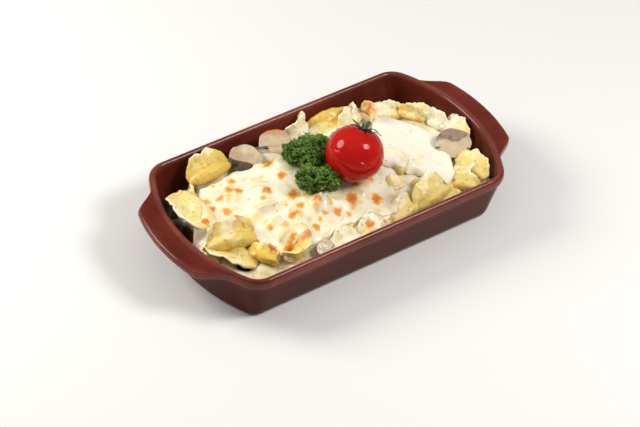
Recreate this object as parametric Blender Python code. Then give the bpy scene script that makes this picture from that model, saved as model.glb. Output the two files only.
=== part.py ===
"""Baked cheese tortellini in a glazed stoneware dish, with a tomato, parsley and mushrooms.

Metres, +Z up. The origin is on the table under the middle of the dish, +X runs along the
dish to one tab handle and +Y runs across it.
"""

import math

import bmesh
import bpy
from mathutils import Matrix, Vector, noise
from mathutils.bvhtree import BVHTree
from mathutils.geometry import delaunay_2d_cdt

MM = 0.001

# The dish's rim in plan: straight long sides, ends bowed as arcs, rounded corners.
RIM_HALF_LENGTH = 118.0 * MM
RIM_HALF_WIDTH = 64.5 * MM
END_ARC_RADIUS = 114.0 * MM
CORNER_RADIUS = 17.0 * MM
LEAST_CORNER_RADIUS = 5.0 * MM
END_STEPS, CORNER_STEPS, SIDE_STEPS = 10, 6, 3
FOOD_SIDE_STEPS = 9

# The dish in section.
RIM_HEIGHT = 38.0 * MM
RIM_WIDTH = 5.0 * MM
WALL_THICKNESS = 4.4 * MM
WALL_DRAFT = 0.218
FLOOR_THICKNESS = 5.0 * MM
FOOT_RADIUS = 3.5 * MM
BEAD_DROP = 0.55 * RIM_WIDTH
FLOOR_CORNER_HEIGHT = 4.5 * MM
FLOOR_CORNER_REACH = 4.0 * MM

# A tab handle stands out of each end.
HANDLE_REACH = 13.0 * MM
HANDLE_FLAT_HALF_WIDTH = 32.0 * MM
HANDLE_FADE = 14.0 * MM
HANDLE_THICKNESS = 6.0 * MM
HANDLE_DROP = 1.2 * MM
HANDLE_UNDERCUT = 2.6 * MM

# The food.
FIT_GAP = 0.5 * MM
PIECE_GAP = 0.8 * MM
CHEESE_GAP = 0.4 * MM
CHEESE_THICKNESS = 4.2 * MM
CHEESE_EDGE = 1.3 * MM
CHEESE_EDGE_FADE = 9.0 * MM
EDGE_LEVEL = 25.0 * MM
CROWN = 11.5 * MM
HEAP_MARGIN = 6.0 * MM
PLAN_STEP = 7.9 * MM
LUMP_SPACING = 19.0 * MM
LUMP_RADIUS = 8.5 * MM
LUMP_HEIGHT = 4.0 * MM
LUMP_SHIFT = 0.45
LUMP_MEAN, LUMP_SPREAD = 0.8, 0.6
DOUGH = 1.7 * MM

# The noise's random offsets are drawn from this number, so that each run gives the same lumps.
NOISE_SEED = 7

# Where the food has sunk or was left out: x, y, radius and depth in millimetres.
HOLLOWS = (
    (-92.0, 50.0, 18.0, 20.0),
    (-107.0, -4.0, 9.0, 15.0),
    (-104.0, 14.0, 8.0, 12.0),
    (108.0, -20.0, 9.0, 14.0),
    (-86.0, -31.0, 6.0, 10.0),
    (88.0, 53.0, 20.0, 9.0),
)

TOMATO_CENTRE = (11.2, -11.2, 57.0)
TOMATO_RADIUS = 19.2
TOMATO_TILT = 33.0
TOMATO_TILT_HEADING = 19.0
TOMATO_SEAT = 3.2 * MM
DIMPLE_DEPTH, DIMPLE_RADIUS = 3.6 * MM, 5.2 * MM

# Each clump of the parsley sprig: x, y, height of its middle and radius in millimetres.
PARSLEY_CLUMPS = (
    (-15.0, 22.5, 48.0, 8.6),
    (-6.0, 18.0, 50.5, 8.8),
    (1.5, 13.5, 51.0, 7.4),
    (-11.0, 8.0, 49.5, 7.6),
    (-19.0, -3.5, 47.5, 9.0),
    (-13.0, -10.5, 46.0, 7.4),
)

# Mushrooms: node name, x, y, height, turn, tilt, radius and the stem's share of that radius.
MUSHROOMS = (
    ("mushroom_half", 90.0, -18.0, 34.0, -30.0, 50.0, 12.5, 0.7),
    ("mushroom_cap", -36.0, 43.0, 30.5, -52.0, 34.0, 11.5, 0.38),
    ("mushroom_slice", -12.0, 43.5, 34.5, 160.0, 62.0, 11.0, 0.38),
    ("mushroom_bit", -38.0, -52.5, 30.0, 10.0, 60.0, 7.0, 0.38),
)
MUSHROOM_DEPTH = 0.72
SLIM_STEM = 0.38
SEAT_DEPTH, SEAT_SLOPE, SEAT_MARGIN = 0.80, 1.1, 6.0

# Tortellini that show: x, y, lift over the core, heading of the thin edge, lean of that edge
# from upright, roll, half length and how far the two ends are bent together, in radians.
TORTELLINI = (
    (-90.0, 16.0, 5.0, 92.0, 78.0, 0.0, 21.5, 0.2),
    (-83.0, 33.0, 3.0, 30.0, 30.0, 0.0, 10.0, 2.0),
    (-62.0, 44.0, 4.0, 5.0, 58.0, 0.0, 17.0, 0.45),
    (11.0, 45.0, 3.0, 25.0, 22.0, 0.0, 13.5, 1.5),
    (37.0, 50.0, 6.0, 175.0, 100.0, 0.0, 17.5, 0.5),
    (55.0, 42.0, 2.0, 60.0, 30.0, 10.0, 10.0, 1.8),
    (61.5, 36.0, 6.0, 85.0, 8.0, 0.0, 9.0, 0.8),
    (76.0, 34.0, 0.0, -25.0, 50.0, 0.0, 11.5, 0.8),
    (86.0, 24.0, 1.0, -60.0, 25.0, 0.0, 10.0, 0.6),
    (97.0, 12.0, 0.5, -80.0, 40.0, 0.0, 11.0, 1.0),
    (101.0, -2.0, 3.0, -95.0, 60.0, 0.0, 13.0, 0.5),
    (95.0, -46.0, 4.0, -80.0, 62.0, 0.0, 13.5, 0.4),
    (76.0, -51.0, 2.0, -45.0, 62.0, 0.0, 10.5, 0.8),
    (52.0, -50.0, 4.0, 12.0, 64.0, 0.0, 16.5, 0.6),
    (30.0, -51.0, 1.0, 15.0, 66.0, 0.0, 14.0, 0.8),
    (-54.0, -45.0, 4.0, 60.0, 14.0, 0.0, 14.0, 2.5),
    (-87.0, -20.5, 6.0, -14.0, 58.0, 0.0, 17.5, 0.6),
    (-78.0, -38.5, 2.5, -55.0, 68.0, 0.0, 11.0, 0.5),
    (-100.0, -33.0, 1.0, 115.0, 78.0, 0.0, 19.0, 0.3),
    (-62.0, -54.0, -3.0, 180.0, 75.0, 0.0, 13.0, 0.3),
    (4.0, -52.0, 1.0, 10.0, 68.0, 0.0, 13.0, 0.7),
    (-20.0, -53.0, 0.0, 5.0, 70.0, 0.0, 12.0, 0.6),
    (21.0, 43.0, 2.0, 190.0, 76.0, 0.0, 15.0, 0.5),
    (62.0, -54.0, 0.0, 20.0, 70.0, 0.0, 12.0, 0.6),
    (-101.0, -5.0, 3.0, 85.0, 55.0, 0.0, 8.0, 0.5),
    (46.0, 36.0, 2.0, 30.0, 55.0, 0.0, 12.0, 0.8),
    (96.0, 27.0, -2.0, -45.0, 60.0, 0.0, 10.0, 0.5),
    (82.0, -34.0, 0.0, -140.0, 75.0, 0.0, 12.0, 0.6),
    (-101.0, -16.0, -1.0, 85.0, 62.0, 0.0, 12.0, 0.5),
)

# The melted cheese's edge in plan, in millimetres, before it is smoothed.
CHEESE_CORNERS = (
    (-80.0, 10.0), (-78.0, 27.0), (-58.0, 32.0), (-34.0, 31.0), (-12.0, 31.0), (12.0, 28.0),
    (36.0, 30.0), (58.0, 22.0), (76.0, 10.0), (80.0, -3.0), (73.0, -16.0), (71.0, -30.0),
    (61.0, -37.0), (46.0, -29.0), (34.0, -27.0), (20.0, -34.0), (4.0, -39.0), (-20.0, -40.0),
    (-38.0, -40.0), (-46.0, -28.0), (-60.0, -29.0), (-67.0, -22.0), (-71.0, -6.0),
)


def clear_scene():
    """Remove whatever the file opened with."""
    for obj in list(bpy.data.objects):
        bpy.data.objects.remove(obj)


def smooth_step(value):
    """Ease from 0 to 1 while value goes from 0 to 1."""
    value = min(max(value, 0.0), 1.0)
    return value * value * (3.0 - 2.0 * value)


def surface(name, colour, roughness):
    """A Principled material."""
    material = bpy.data.materials.new(name)
    material.use_nodes = True
    shader = material.node_tree.nodes["Principled BSDF"]
    shader.inputs["Base Color"].default_value = (*colour, 1.0)
    shader.inputs["Roughness"].default_value = roughness
    material.diffuse_color = (*colour, 1.0)
    return material


def add_object(name, mesh, material, collection):
    """Make an object of the mesh in the collection, smooth over its shallow edges."""
    mesh.materials.clear()
    mesh.materials.append(material)
    mesh.shade_smooth()
    mesh.set_sharp_from_angle(angle=math.radians(40.0))
    obj = bpy.data.objects.new(name, mesh)
    collection.objects.link(obj)
    return obj


def mesh_from_bmesh(name, bm):
    """Turn a bmesh into a mesh whose faces point out."""
    bmesh.ops.recalc_face_normals(bm, faces=bm.faces)
    if bm.calc_volume(signed=True) < 0.0:
        bmesh.ops.reverse_faces(bm, faces=bm.faces)
    mesh = bpy.data.meshes.new(name)
    bm.to_mesh(mesh)
    bm.free()
    return mesh


def loft(name, rings):
    """Skin a stack of rings, each with the same number of points, and fan both ends shut."""
    bm = bmesh.new()
    loops = [[bm.verts.new(point) for point in ring] for ring in rings]
    count = len(loops[0])
    for lower, upper in zip(loops, loops[1:]):
        for i in range(count):
            j = (i + 1) % count
            bm.faces.new((lower[i], lower[j], upper[j], upper[i]))
    for ring in (loops[0], loops[-1]):
        middle = bm.verts.new(sum((vert.co for vert in ring), Vector()) / count)
        for i in range(count):
            bm.faces.new((ring[i], ring[(i + 1) % count], middle))
    return mesh_from_bmesh(name, bm)


def outline(inset, side_steps=SIDE_STEPS):
    """The rim's outline moved inwards by inset, as points all the way round."""
    end_centre = RIM_HALF_LENGTH - END_ARC_RADIUS
    half_width = RIM_HALF_WIDTH - inset
    corner = max(CORNER_RADIUS - inset, LEAST_CORNER_RADIUS)
    end_radius = END_ARC_RADIUS - inset
    corner_y = half_width - corner
    corner_x = end_centre + math.sqrt((end_radius - corner) ** 2 - corner_y**2)
    turn = math.atan2(corner_y, corner_x - end_centre)
    quarter = []
    for i in range(END_STEPS):
        angle = turn * i / END_STEPS
        quarter.append((end_centre + end_radius * math.cos(angle), end_radius * math.sin(angle)))
    for i in range(CORNER_STEPS):
        angle = turn + (math.pi / 2 - turn) * i / CORNER_STEPS
        quarter.append((corner_x + corner * math.cos(angle), corner_y + corner * math.sin(angle)))
    for i in range(side_steps):
        quarter.append((corner_x * (1.0 - i / side_steps), half_width))
    back = quarter[:0:-1]
    points = quarter + [(0.0, half_width)] + [(-x, y) for x, y in back]
    points += [(-quarter[0][0], 0.0)] + [(-x, -y) for x, y in quarter[1:]]
    points += [(0.0, -half_width)] + [(x, -y) for x, y in back]
    return points


def handle_reach(y):
    """How far the tab stands out of the rim at this distance from the dish's long axis."""
    return HANDLE_REACH * (1.0 - smooth_step((abs(y) - HANDLE_FLAT_HALF_WIDTH) / HANDLE_FADE))


def wall_inset(height):
    """Inset of the dish's inner wall at a height."""
    inset = RIM_WIDTH + WALL_DRAFT * (RIM_HEIGHT - BEAD_DROP - height)
    below = max(0.0, FLOOR_THICKNESS + FLOOR_CORNER_HEIGHT - height) / FLOOR_CORNER_HEIGHT
    return inset + FLOOR_CORNER_REACH * below**2


def dish_profile():
    """The dish's section from its foot, over the rim, to its floor: inset, height, tab share."""
    under = RIM_HEIGHT - HANDLE_DROP - HANDLE_THICKNESS
    wall_top = under - HANDLE_UNDERCUT
    outer_top = wall_inset(wall_top) - WALL_THICKNESS
    outer_low = outer_top + WALL_DRAFT * (wall_top - FOOT_RADIUS)
    section = [
        (outer_low + FOOT_RADIUS, 0.0, 0.0),
        (outer_low + 0.3 * FOOT_RADIUS, 0.3 * FOOT_RADIUS, 0.0),
        (outer_low, FOOT_RADIUS, 0.0),
        (outer_top, wall_top, 0.0),
        (0.75 * outer_top, under - 0.6 * MM, 0.15),
        (1.1 * MM, under, 0.88),
        (0.0, under + 1.5 * MM, 1.0),
        (0.0, RIM_HEIGHT - 2.6 * MM, 1.0),
        (0.5 * MM, RIM_HEIGHT - 1.3 * MM, 0.94),
        (1.0 * MM, RIM_HEIGHT - 0.7 * MM, 0.05),
        (0.5 * RIM_WIDTH, RIM_HEIGHT, 0.0),
        (0.85 * RIM_WIDTH, RIM_HEIGHT - 0.8 * MM, 0.0),
    ]
    floor_corner = FLOOR_THICKNESS + FLOOR_CORNER_HEIGHT
    for height in (RIM_HEIGHT - BEAD_DROP, floor_corner, FLOOR_THICKNESS + 1.6 * MM, FLOOR_THICKNESS):
        section.append((wall_inset(height), height, 0.0))
    return section


def build_dish(material, collection):
    """The stoneware dish with its rolled rim and two tab handles, as one loft."""
    rings = []
    for inset, height, tab in dish_profile():
        ring = []
        for x, y in outline(inset):
            shift = math.copysign(handle_reach(y) * tab, x) if abs(x) > MM else 0.0
            ring.append((x + shift, y, height))
        rings.append(ring)
    add_object("dish", loft("dish", rings), material, collection)


def lump_height(x, y):
    """Rounded lumps where buried tortellini lift the surface, spread evenly but unevenly high."""
    total = 0.0
    column, row = round(x / LUMP_SPACING), round(y / LUMP_SPACING)
    for i in range(column - 2, column + 3):
        for j in range(row - 2, row + 3):
            jitter = noise.noise_vector(Vector((i * 1.7, j * 2.3, 4.1)))
            centre_x = (i + 0.5 * (j % 2) + LUMP_SHIFT * jitter.x) * LUMP_SPACING
            centre_y = (j + LUMP_SHIFT * jitter.y) * LUMP_SPACING
            near = ((x - centre_x) ** 2 + (y - centre_y) ** 2) / LUMP_RADIUS**2
            total += LUMP_HEIGHT * (LUMP_MEAN + LUMP_SPREAD * jitter.z) * math.exp(-near)
    return total


def dome_height(x, y):
    """Height of the heap without its lumps and hollows: low at the wall, crowned inside."""
    long_share = (abs(x) / (RIM_HALF_LENGTH - HEAP_MARGIN)) ** 3
    wide_share = (abs(y) / (RIM_HALF_WIDTH - HEAP_MARGIN)) ** 3
    return EDGE_LEVEL + CROWN * (1.0 - smooth_step((long_share + wide_share) ** (1.0 / 3.0)))


def core_height(x, y):
    """Height of the heap's core at a place in plan."""
    height = dome_height(x, y)
    edge = max(abs(x) / RIM_HALF_LENGTH, abs(y) / RIM_HALF_WIDTH)
    height += lump_height(x, y) * (1.0 - smooth_step((edge - 0.72) / 0.16))
    for hollow_x, hollow_y, radius, depth in HOLLOWS:
        near = (x / MM - hollow_x) ** 2 + (y / MM - hollow_y) ** 2
        height -= depth * MM * math.exp(-near / radius**2)
    for _, seat_x, seat_y, seat_z, _, _, radius, _ in MUSHROOMS:
        away = math.hypot(x / MM - seat_x, y / MM - seat_y)
        if away < radius + SEAT_MARGIN:
            seat = (seat_z - SEAT_DEPTH * radius) * MM
            height = min(height, seat + SEAT_SLOPE * MM * max(0.0, away - radius))
    return max(min(height, tomato_underside(x, y) - TOMATO_SEAT), FLOOR_THICKNESS + 3.0 * MM)


def tomato_underside(x, y):
    """Height of the tomato's lower side over a place in plan, or far up away from it."""
    away = math.hypot(x / MM - TOMATO_CENTRE[0], y / MM - TOMATO_CENTRE[1])
    reach = TOMATO_RADIUS + 0.2
    if away >= reach:
        return 1.0
    return (TOMATO_CENTRE[2] - math.sqrt(reach**2 - away**2)) * MM


def smooth_loop(corners, per_corner=3):
    """A closed smooth curve through the corners, as Catmull-Rom points."""
    points, count = [], len(corners)
    for i in range(count):
        a, b, c, d = (Vector(corners[(i + k) % count]) for k in (-1, 0, 1, 2))
        for step in range(per_corner):
            t = step / per_corner
            bend = (2 * a - 5 * b + 4 * c - d) * t**2 + (3 * b - a - 3 * c + d) * t**3
            points.append((b + 0.5 * ((c - a) * t + bend)) * MM)
    return points


def inside_loop(point, loop):
    """True if the point lies inside the closed loop."""
    inside = False
    for a, b in zip(loop, loop[1:] + loop[:1]):
        if (a[1] > point[1]) != (b[1] > point[1]):
            if point[0] < a[0] + (point[1] - a[1]) * (b[0] - a[0]) / (b[1] - a[1]):
                inside = not inside
    return inside


def distance_to_loop(point, loop):
    """Distance in plan from a point to the nearest side of the loop."""
    best = 1.0
    place = Vector(point)
    for a, b in zip(loop, loop[1:] + loop[:1]):
        a, side = Vector(a), Vector(b) - Vector(a)
        along = min(max((place - a).dot(side) / side.length_squared, 0.0), 1.0)
        best = min(best, (place - a - along * side).length)
    return best


def edge_ring(side_steps):
    """The core's upper edge against the wall: plan points whose inset follows their height."""
    ring = []
    for x, y in outline(10.0 * MM, side_steps):
        height = core_height(x, y)
        ring.append((wall_inset(height) + FIT_GAP, height))
    places = []
    for i, (inset, height) in enumerate(ring):
        x, y = outline(inset, side_steps)[i]
        places.append(Vector((x, y, height)))
    return places


def plan_triangles(edge, cheese):
    """Points and triangles that fill the food's edge in plan and follow the cheese's edge."""
    points = [Vector((p.x, p.y)) for p in edge]
    sides = [(i, (i + 1) % len(edge)) for i in range(len(edge))]
    start = len(points)
    points += [Vector((p[0], p[1])) for p in cheese]
    sides += [(start + i, start + (i + 1) % len(cheese)) for i in range(len(cheese))]
    row_step = PLAN_STEP * math.sqrt(3.0) / 2.0
    rows = int(RIM_HALF_WIDTH / row_step)
    columns = int(RIM_HALF_LENGTH / PLAN_STEP)
    edge_loop = [(p.x, p.y) for p in edge]
    cheese_loop = [tuple(p) for p in cheese]
    for j in range(-rows, rows + 1):
        for i in range(-columns, columns + 1):
            place = ((i + 0.5 * (j % 2)) * PLAN_STEP, j * row_step)
            if not inside_loop(place, edge_loop):
                continue
            nearest = min(distance_to_loop(place, edge_loop), distance_to_loop(place, cheese_loop))
            if nearest > 0.45 * PLAN_STEP:
                points.append(Vector(place))
    flat, _, faces, _, _, _ = delaunay_2d_cdt(points, sides, [], 1, 1.0e-7)
    return flat, [face for face in faces if len(face) == 3], cheese_loop


def core_mesh(flat, faces, edge):
    """The heap's core: its lumpy top, and sides that follow the dish's wall to the floor."""
    bm = bmesh.new()
    count = len(edge)
    top = []
    for i, place in enumerate(flat):
        height = edge[i].z if i < count else core_height(place.x, place.y)
        top.append(bm.verts.new((place.x, place.y, height)))
    for a, b, c in faces:
        bm.faces.new((top[a], top[b], top[c]))
    upper = top[:count]
    for share in (0.45, 0.12, 0.0):
        ring = []
        for i, place in enumerate(edge):
            low = FLOOR_THICKNESS + FIT_GAP + 0.2 * MM
            height = low + (place.z - low) * share if share > 0.0 else low
            x, y = outline(wall_inset(height) + FIT_GAP, FOOD_SIDE_STEPS)[i]
            ring.append(bm.verts.new((x, y, height)))
        for i in range(count):
            j = (i + 1) % count
            bm.faces.new((upper[i], upper[j], ring[j], ring[i]))
        upper = ring
    bottom = bm.faces.new(upper)
    bmesh.ops.triangulate(bm, faces=[bottom])
    return mesh_from_bmesh("pasta_heap", bm)


def cheese_mesh(flat, faces, cheese_loop):
    """The melted blanket: the core's own triangles inside its edge, lifted, thickened and shut."""
    chosen = []
    for face in faces:
        middle = sum((flat[i] for i in face), Vector((0.0, 0.0))) / 3.0
        if inside_loop(middle, cheese_loop):
            chosen.append(face)
    used = sorted({i for face in chosen for i in face})
    bm = bmesh.new()
    under, over = {}, {}
    for i in used:
        x, y = flat[i]
        base = core_height(x, y) + CHEESE_GAP
        share = smooth_step(distance_to_loop((x, y), cheese_loop) / CHEESE_EDGE_FADE)
        top = base + CHEESE_EDGE + (CHEESE_THICKNESS - CHEESE_EDGE) * share
        top = max(min(top, tomato_underside(x, y) - 0.5 * MM), base + 0.9 * MM)
        under[i] = bm.verts.new((x, y, base))
        over[i] = bm.verts.new((x, y, top))
    sides = {}
    for a, b, c in chosen:
        bm.faces.new((under[c], under[b], under[a]))
        bm.faces.new((over[a], over[b], over[c]))
        for side in ((a, b), (b, c), (c, a)):
            sides[side] = sides.get(side, 0) + 1
    for (a, b) in sides:
        if (b, a) not in sides:
            bm.faces.new((under[a], under[b], over[b], over[a]))
    return mesh_from_bmesh("melted_cheese", bm)


def dough_section(belly, fin, thickness):
    """Section through a tortellino: a round filled belly below a thin standing edge."""
    half = thickness / 2.0
    return (
        (0.8 * half, fin),
        (half, 0.95 * belly),
        (belly, 0.15 * belly),
        (0.7 * belly, -0.75 * belly),
        (-0.7 * belly, -0.75 * belly),
        (-belly, 0.15 * belly),
        (-half, 0.95 * belly),
        (-0.8 * half, fin),
    )


def tortellino_mesh(half_length, curl, phase, sections=9):
    """A filled half moon of dough with a thin wavy edge, bent round so that its ends near."""
    belly_radius = 0.30 * half_length
    fin_height = 0.95 * half_length
    bend_radius = half_length / max(curl, 0.05)
    rings = []
    for i in range(sections):
        along = 0.975 * math.sin(math.pi * (i / (sections - 1) - 0.5))
        width = math.sqrt(1.0 - along**2)
        belly = belly_radius * (0.30 + 0.70 * width)
        scallop = 1.0 + 0.05 * math.cos(9.0 * along + phase)
        fin = max(fin_height * width**0.8 * scallop, 1.15 * belly)
        angle = along * half_length / bend_radius
        ring = []
        for n, h in dough_section(belly, fin, DOUGH):
            rise = max(0.0, h) / fin_height
            out = n + 0.22 * h + 0.05 * half_length * rise**2 * math.sin(5.5 * along + phase)
            ring.append((
                (bend_radius + out) * math.sin(angle),
                bend_radius - (bend_radius + out) * math.cos(angle),
                h,
            ))
        rings.append(ring)
    return loft("tortellino", rings)


def placing(x, y, z, heading, lean, roll):
    """Matrix that leans a piece's upper side, rolls it and turns it to its heading."""
    turned = Matrix.Rotation(math.radians(heading), 4, "Z") @ Matrix.Rotation(-math.radians(lean), 4, "X")
    return Matrix.Translation((x, y, z)) @ turned @ Matrix.Rotation(math.radians(roll), 4, "Y")


def wall_push(place):
    """Level shift that brings a point of the food back inside the dish's wall."""
    inset = wall_inset(min(place.z, RIM_HEIGHT)) + PIECE_GAP if place.z < RIM_HEIGHT + MM else 0.0
    end_centre = RIM_HALF_LENGTH - END_ARC_RADIUS
    half_width = RIM_HALF_WIDTH - inset
    end_radius = END_ARC_RADIUS - inset
    corner = max(CORNER_RADIUS - inset, LEAST_CORNER_RADIUS)
    corner_y = half_width - corner
    corner_x = end_centre + math.sqrt((end_radius - corner) ** 2 - corner_y**2)
    off_x, off_y = abs(place.x) - corner_x, abs(place.y) - corner_y
    past_end = math.hypot(abs(place.x) - end_centre, place.y) - end_radius if off_x > -corner else 0.0
    past_corner = math.hypot(off_x, off_y) - corner if off_x > 0.0 and off_y > 0.0 else 0.0
    step_x = max(past_end, past_corner, 0.0)
    step_y = max(abs(place.y) - half_width, past_corner, 0.0)
    return Vector((-math.copysign(step_x, place.x), -math.copysign(step_y, place.y), 0.0))


def kept_inside(mesh):
    """Shift a piece towards the middle until it clears the dish's wall."""
    for _ in range(40):
        push = max((wall_push(vert.co) for vert in mesh.vertices), key=lambda step: step.length)
        if push.length == 0.0:
            return
        mesh.transform(Matrix.Translation(push * 1.02))


def tree_of(mesh):
    """A search tree over a mesh's faces."""
    return BVHTree.FromPolygons([v.co for v in mesh.vertices], [p.vertices for p in mesh.polygons])


def join_all(target, pieces, collection_name):
    """Fuse the pieces to the target with one Boolean union, then drop scraps and hollows."""
    helpers = bpy.data.collections.new(collection_name)
    bpy.context.scene.collection.children.link(helpers)
    for i, mesh in enumerate(pieces):
        helpers.objects.link(bpy.data.objects.new(f"{collection_name}_{i}", mesh))
    union = target.modifiers.new("fuse", "BOOLEAN")
    union.operation = "UNION"
    union.operand_type = "COLLECTION"
    union.collection = helpers
    union.solver = "EXACT"
    bpy.context.view_layer.update()
    fused = bpy.data.meshes.new_from_object(target.evaluated_get(bpy.context.evaluated_depsgraph_get()))
    target.modifiers.clear()
    material = target.data.materials[0]
    target.data = fused
    fused.materials.clear()
    fused.materials.append(material)
    for obj in list(helpers.objects):
        bpy.data.objects.remove(obj)
    bpy.data.collections.remove(helpers)
    keep_largest(fused)
    fused.shade_smooth()
    fused.set_sharp_from_angle(angle=math.radians(40.0))


def keep_largest(mesh):
    """Keep only the connected shell with the most faces."""
    bm = bmesh.new()
    bm.from_mesh(mesh)
    bmesh.ops.dissolve_degenerate(bm, edges=bm.edges, dist=0.01 * MM)
    unseen, shells = set(bm.verts), []
    while unseen:
        shell, front = set(), [unseen.pop()]
        while front:
            vert = front.pop()
            shell.add(vert)
            for edge in vert.link_edges:
                other = edge.other_vert(vert)
                if other in unseen:
                    unseen.discard(other)
                    front.append(other)
        shells.append(shell)
    shells.sort(key=len)
    for shell in shells[:-1]:
        bmesh.ops.delete(bm, geom=list(shell), context="VERTS")
    bm.to_mesh(mesh)
    bm.free()


def tomato_matrix():
    """Place of the tomato: its stem end leans over towards one side."""
    turn = Matrix.Rotation(math.radians(TOMATO_TILT_HEADING), 4, "Z")
    tilt = Matrix.Rotation(math.radians(TOMATO_TILT), 4, "Y")
    centre = Vector(TOMATO_CENTRE) * MM
    return Matrix.Translation(centre) @ turn @ tilt @ turn.inverted()


def tomato_surface(across, angle):
    """Height of the upright tomato's upper skin at a distance from its stem's axis."""
    radius = TOMATO_RADIUS * MM
    lobes = 1.0 + 0.006 * math.cos(5.0 * angle)
    share = min(across / (radius * lobes), 1.0)
    dimple = DIMPLE_DEPTH * math.exp(-((across / DIMPLE_RADIUS) ** 2))
    return 0.99 * radius * math.sqrt(1.0 - share**2) - dimple


def build_tomato(material, collection):
    """The small whole tomato, a sphere with a dimple at its stem end and faint lobes."""
    bm = bmesh.new()
    bmesh.ops.create_uvsphere(bm, u_segments=24, v_segments=14, radius=TOMATO_RADIUS * MM)
    for vert in bm.verts:
        across = math.hypot(vert.co.x, vert.co.y)
        angle = math.atan2(vert.co.y, vert.co.x)
        if vert.co.z > 0.0:
            vert.co.z = tomato_surface(across, angle)
        else:
            vert.co.z *= 0.97
    bm.transform(tomato_matrix())
    add_object("cherry_tomato", mesh_from_bmesh("cherry_tomato", bm), material, collection)


def build_calyx(material, collection):
    """The tomato's green star of thin sepals with a stub of stem."""
    sepals, per_sepal, rows = 5, 4, 5
    count = sepals * per_sepal
    core, reach, thickness = 3.0 * MM, 12.5 * MM, 0.9 * MM
    faces_up, faces_down = [], []
    for row in range(1, rows + 1):
        share = row / rows
        up, down = [], []
        for i in range(count):
            angle = 2.0 * math.pi * i / count
            point = (0.5 + 0.5 * math.cos(sepals * angle)) ** 1.6
            away = core * share + (reach - core) * share * point
            twist = angle + 0.08 * math.sin(2.0 * angle) * share
            lift = 0.7 * MM + 3.6 * MM * (away / reach) ** 3 * (1.0 + 0.5 * math.sin(2.0 * angle))
            height = tomato_surface(away, angle) + lift
            slim = thickness * (1.0 - 0.45 * share)
            x, y = away * math.cos(twist), away * math.sin(twist)
            down.append((x, y, height))
            up.append((x, y, height + slim))
        faces_up.append(up)
        faces_down.append(down)
    rings = faces_down + faces_up[::-1]
    star = add_object("tomato_calyx", loft("tomato_calyx", rings), material, collection)
    bm = bmesh.new()
    bmesh.ops.create_cone(
        bm, cap_ends=True, segments=10, radius1=1.7 * MM, radius2=1.2 * MM, depth=7.0 * MM,
    )
    middle = tomato_surface(0.0, 0.0) + 4.8 * MM
    bm.transform(Matrix.Translation((0.0, 0.0, middle)))
    join_all(star, [mesh_from_bmesh("stem", bm)], "stem_parts")
    star.data.transform(tomato_matrix())


def parsley_clump(x, y, z, radius):
    """A crinkled ball of curly parsley leaf, a sphere whose skin is pushed in and out."""
    bm = bmesh.new()
    bmesh.ops.create_icosphere(bm, subdivisions=3, radius=radius * MM)
    for vert in bm.verts:
        way = vert.co.normalized()
        place = way * 3.1 + Vector((x, y, z)) * 0.37
        crinkle = noise.noise(place) + 0.6 * noise.noise(place * 2.3)
        vert.co += way * crinkle * 0.17 * radius * MM
        vert.co.z *= 0.82
    bmesh.ops.translate(bm, verts=bm.verts, vec=Vector((x, y, z)) * MM)
    return mesh_from_bmesh("clump", bm)


def build_parsley(material, collection, top_trees):
    """The sprig: crinkled clumps fused to one another, each set down on the cheese."""
    clumps = []
    for x, y, z, radius in PARSLEY_CLUMPS:
        mesh = parsley_clump(x, y, z, radius)
        for _ in range(4):
            mesh.transform(Matrix.Translation(push_from_tomato(mesh)))
            lift = max(surface_below(vert.co, top_trees) + 0.7 * MM - vert.co.z for vert in mesh.vertices)
            mesh.transform(Matrix.Translation((0.0, 0.0, lift)))
        clumps.append(mesh)
    sprig = add_object("parsley_sprig", clumps[0], material, collection)
    join_all(sprig, clumps[1:], "parsley_parts")


def push_from_tomato(mesh):
    """Level shift that takes the mesh clear of the tomato."""
    centre = Vector(TOMATO_CENTRE) * MM
    nearest = min((vert.co for vert in mesh.vertices), key=lambda place: (place - centre).length)
    deficit = (TOMATO_RADIUS + 1.2) * MM - (nearest - centre).length
    away = (nearest - centre).to_2d().normalized()
    return (away * max(deficit, 0.0) * 1.3).to_3d()


def surface_below(place, trees):
    """Height of the highest food surface over or under a place in plan."""
    best = 0.0
    for tree in trees:
        hit = tree.ray_cast(Vector((place.x, place.y, 0.2)), Vector((0.0, 0.0, -1.0)))[0]
        if hit is not None:
            best = max(best, hit.z)
    return best


def mushroom_half_section(share, stem):
    """Half of a mushroom's outline, from its crown (0) round the cap's lip to the stem's foot (1)."""
    if share < 0.55:
        angle = math.radians(90.0 - 110.0 * share / 0.55)
        return 1.0 * math.cos(angle), 0.78 * math.sin(angle) + 0.1
    full = (stem - SLIM_STEM) / (1.0 - SLIM_STEM)
    lip = 0.03 + 0.30 * full
    if share < 0.75:
        inwards = (share - 0.55) / 0.2
        return 0.94 - (0.94 - stem) * inwards, -0.27 - lip * inwards
    down = (share - 0.75) / 0.25
    return stem - (0.05 + 0.6 * full) * down**2, -0.27 - lip + (lip - 0.40) * down


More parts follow.
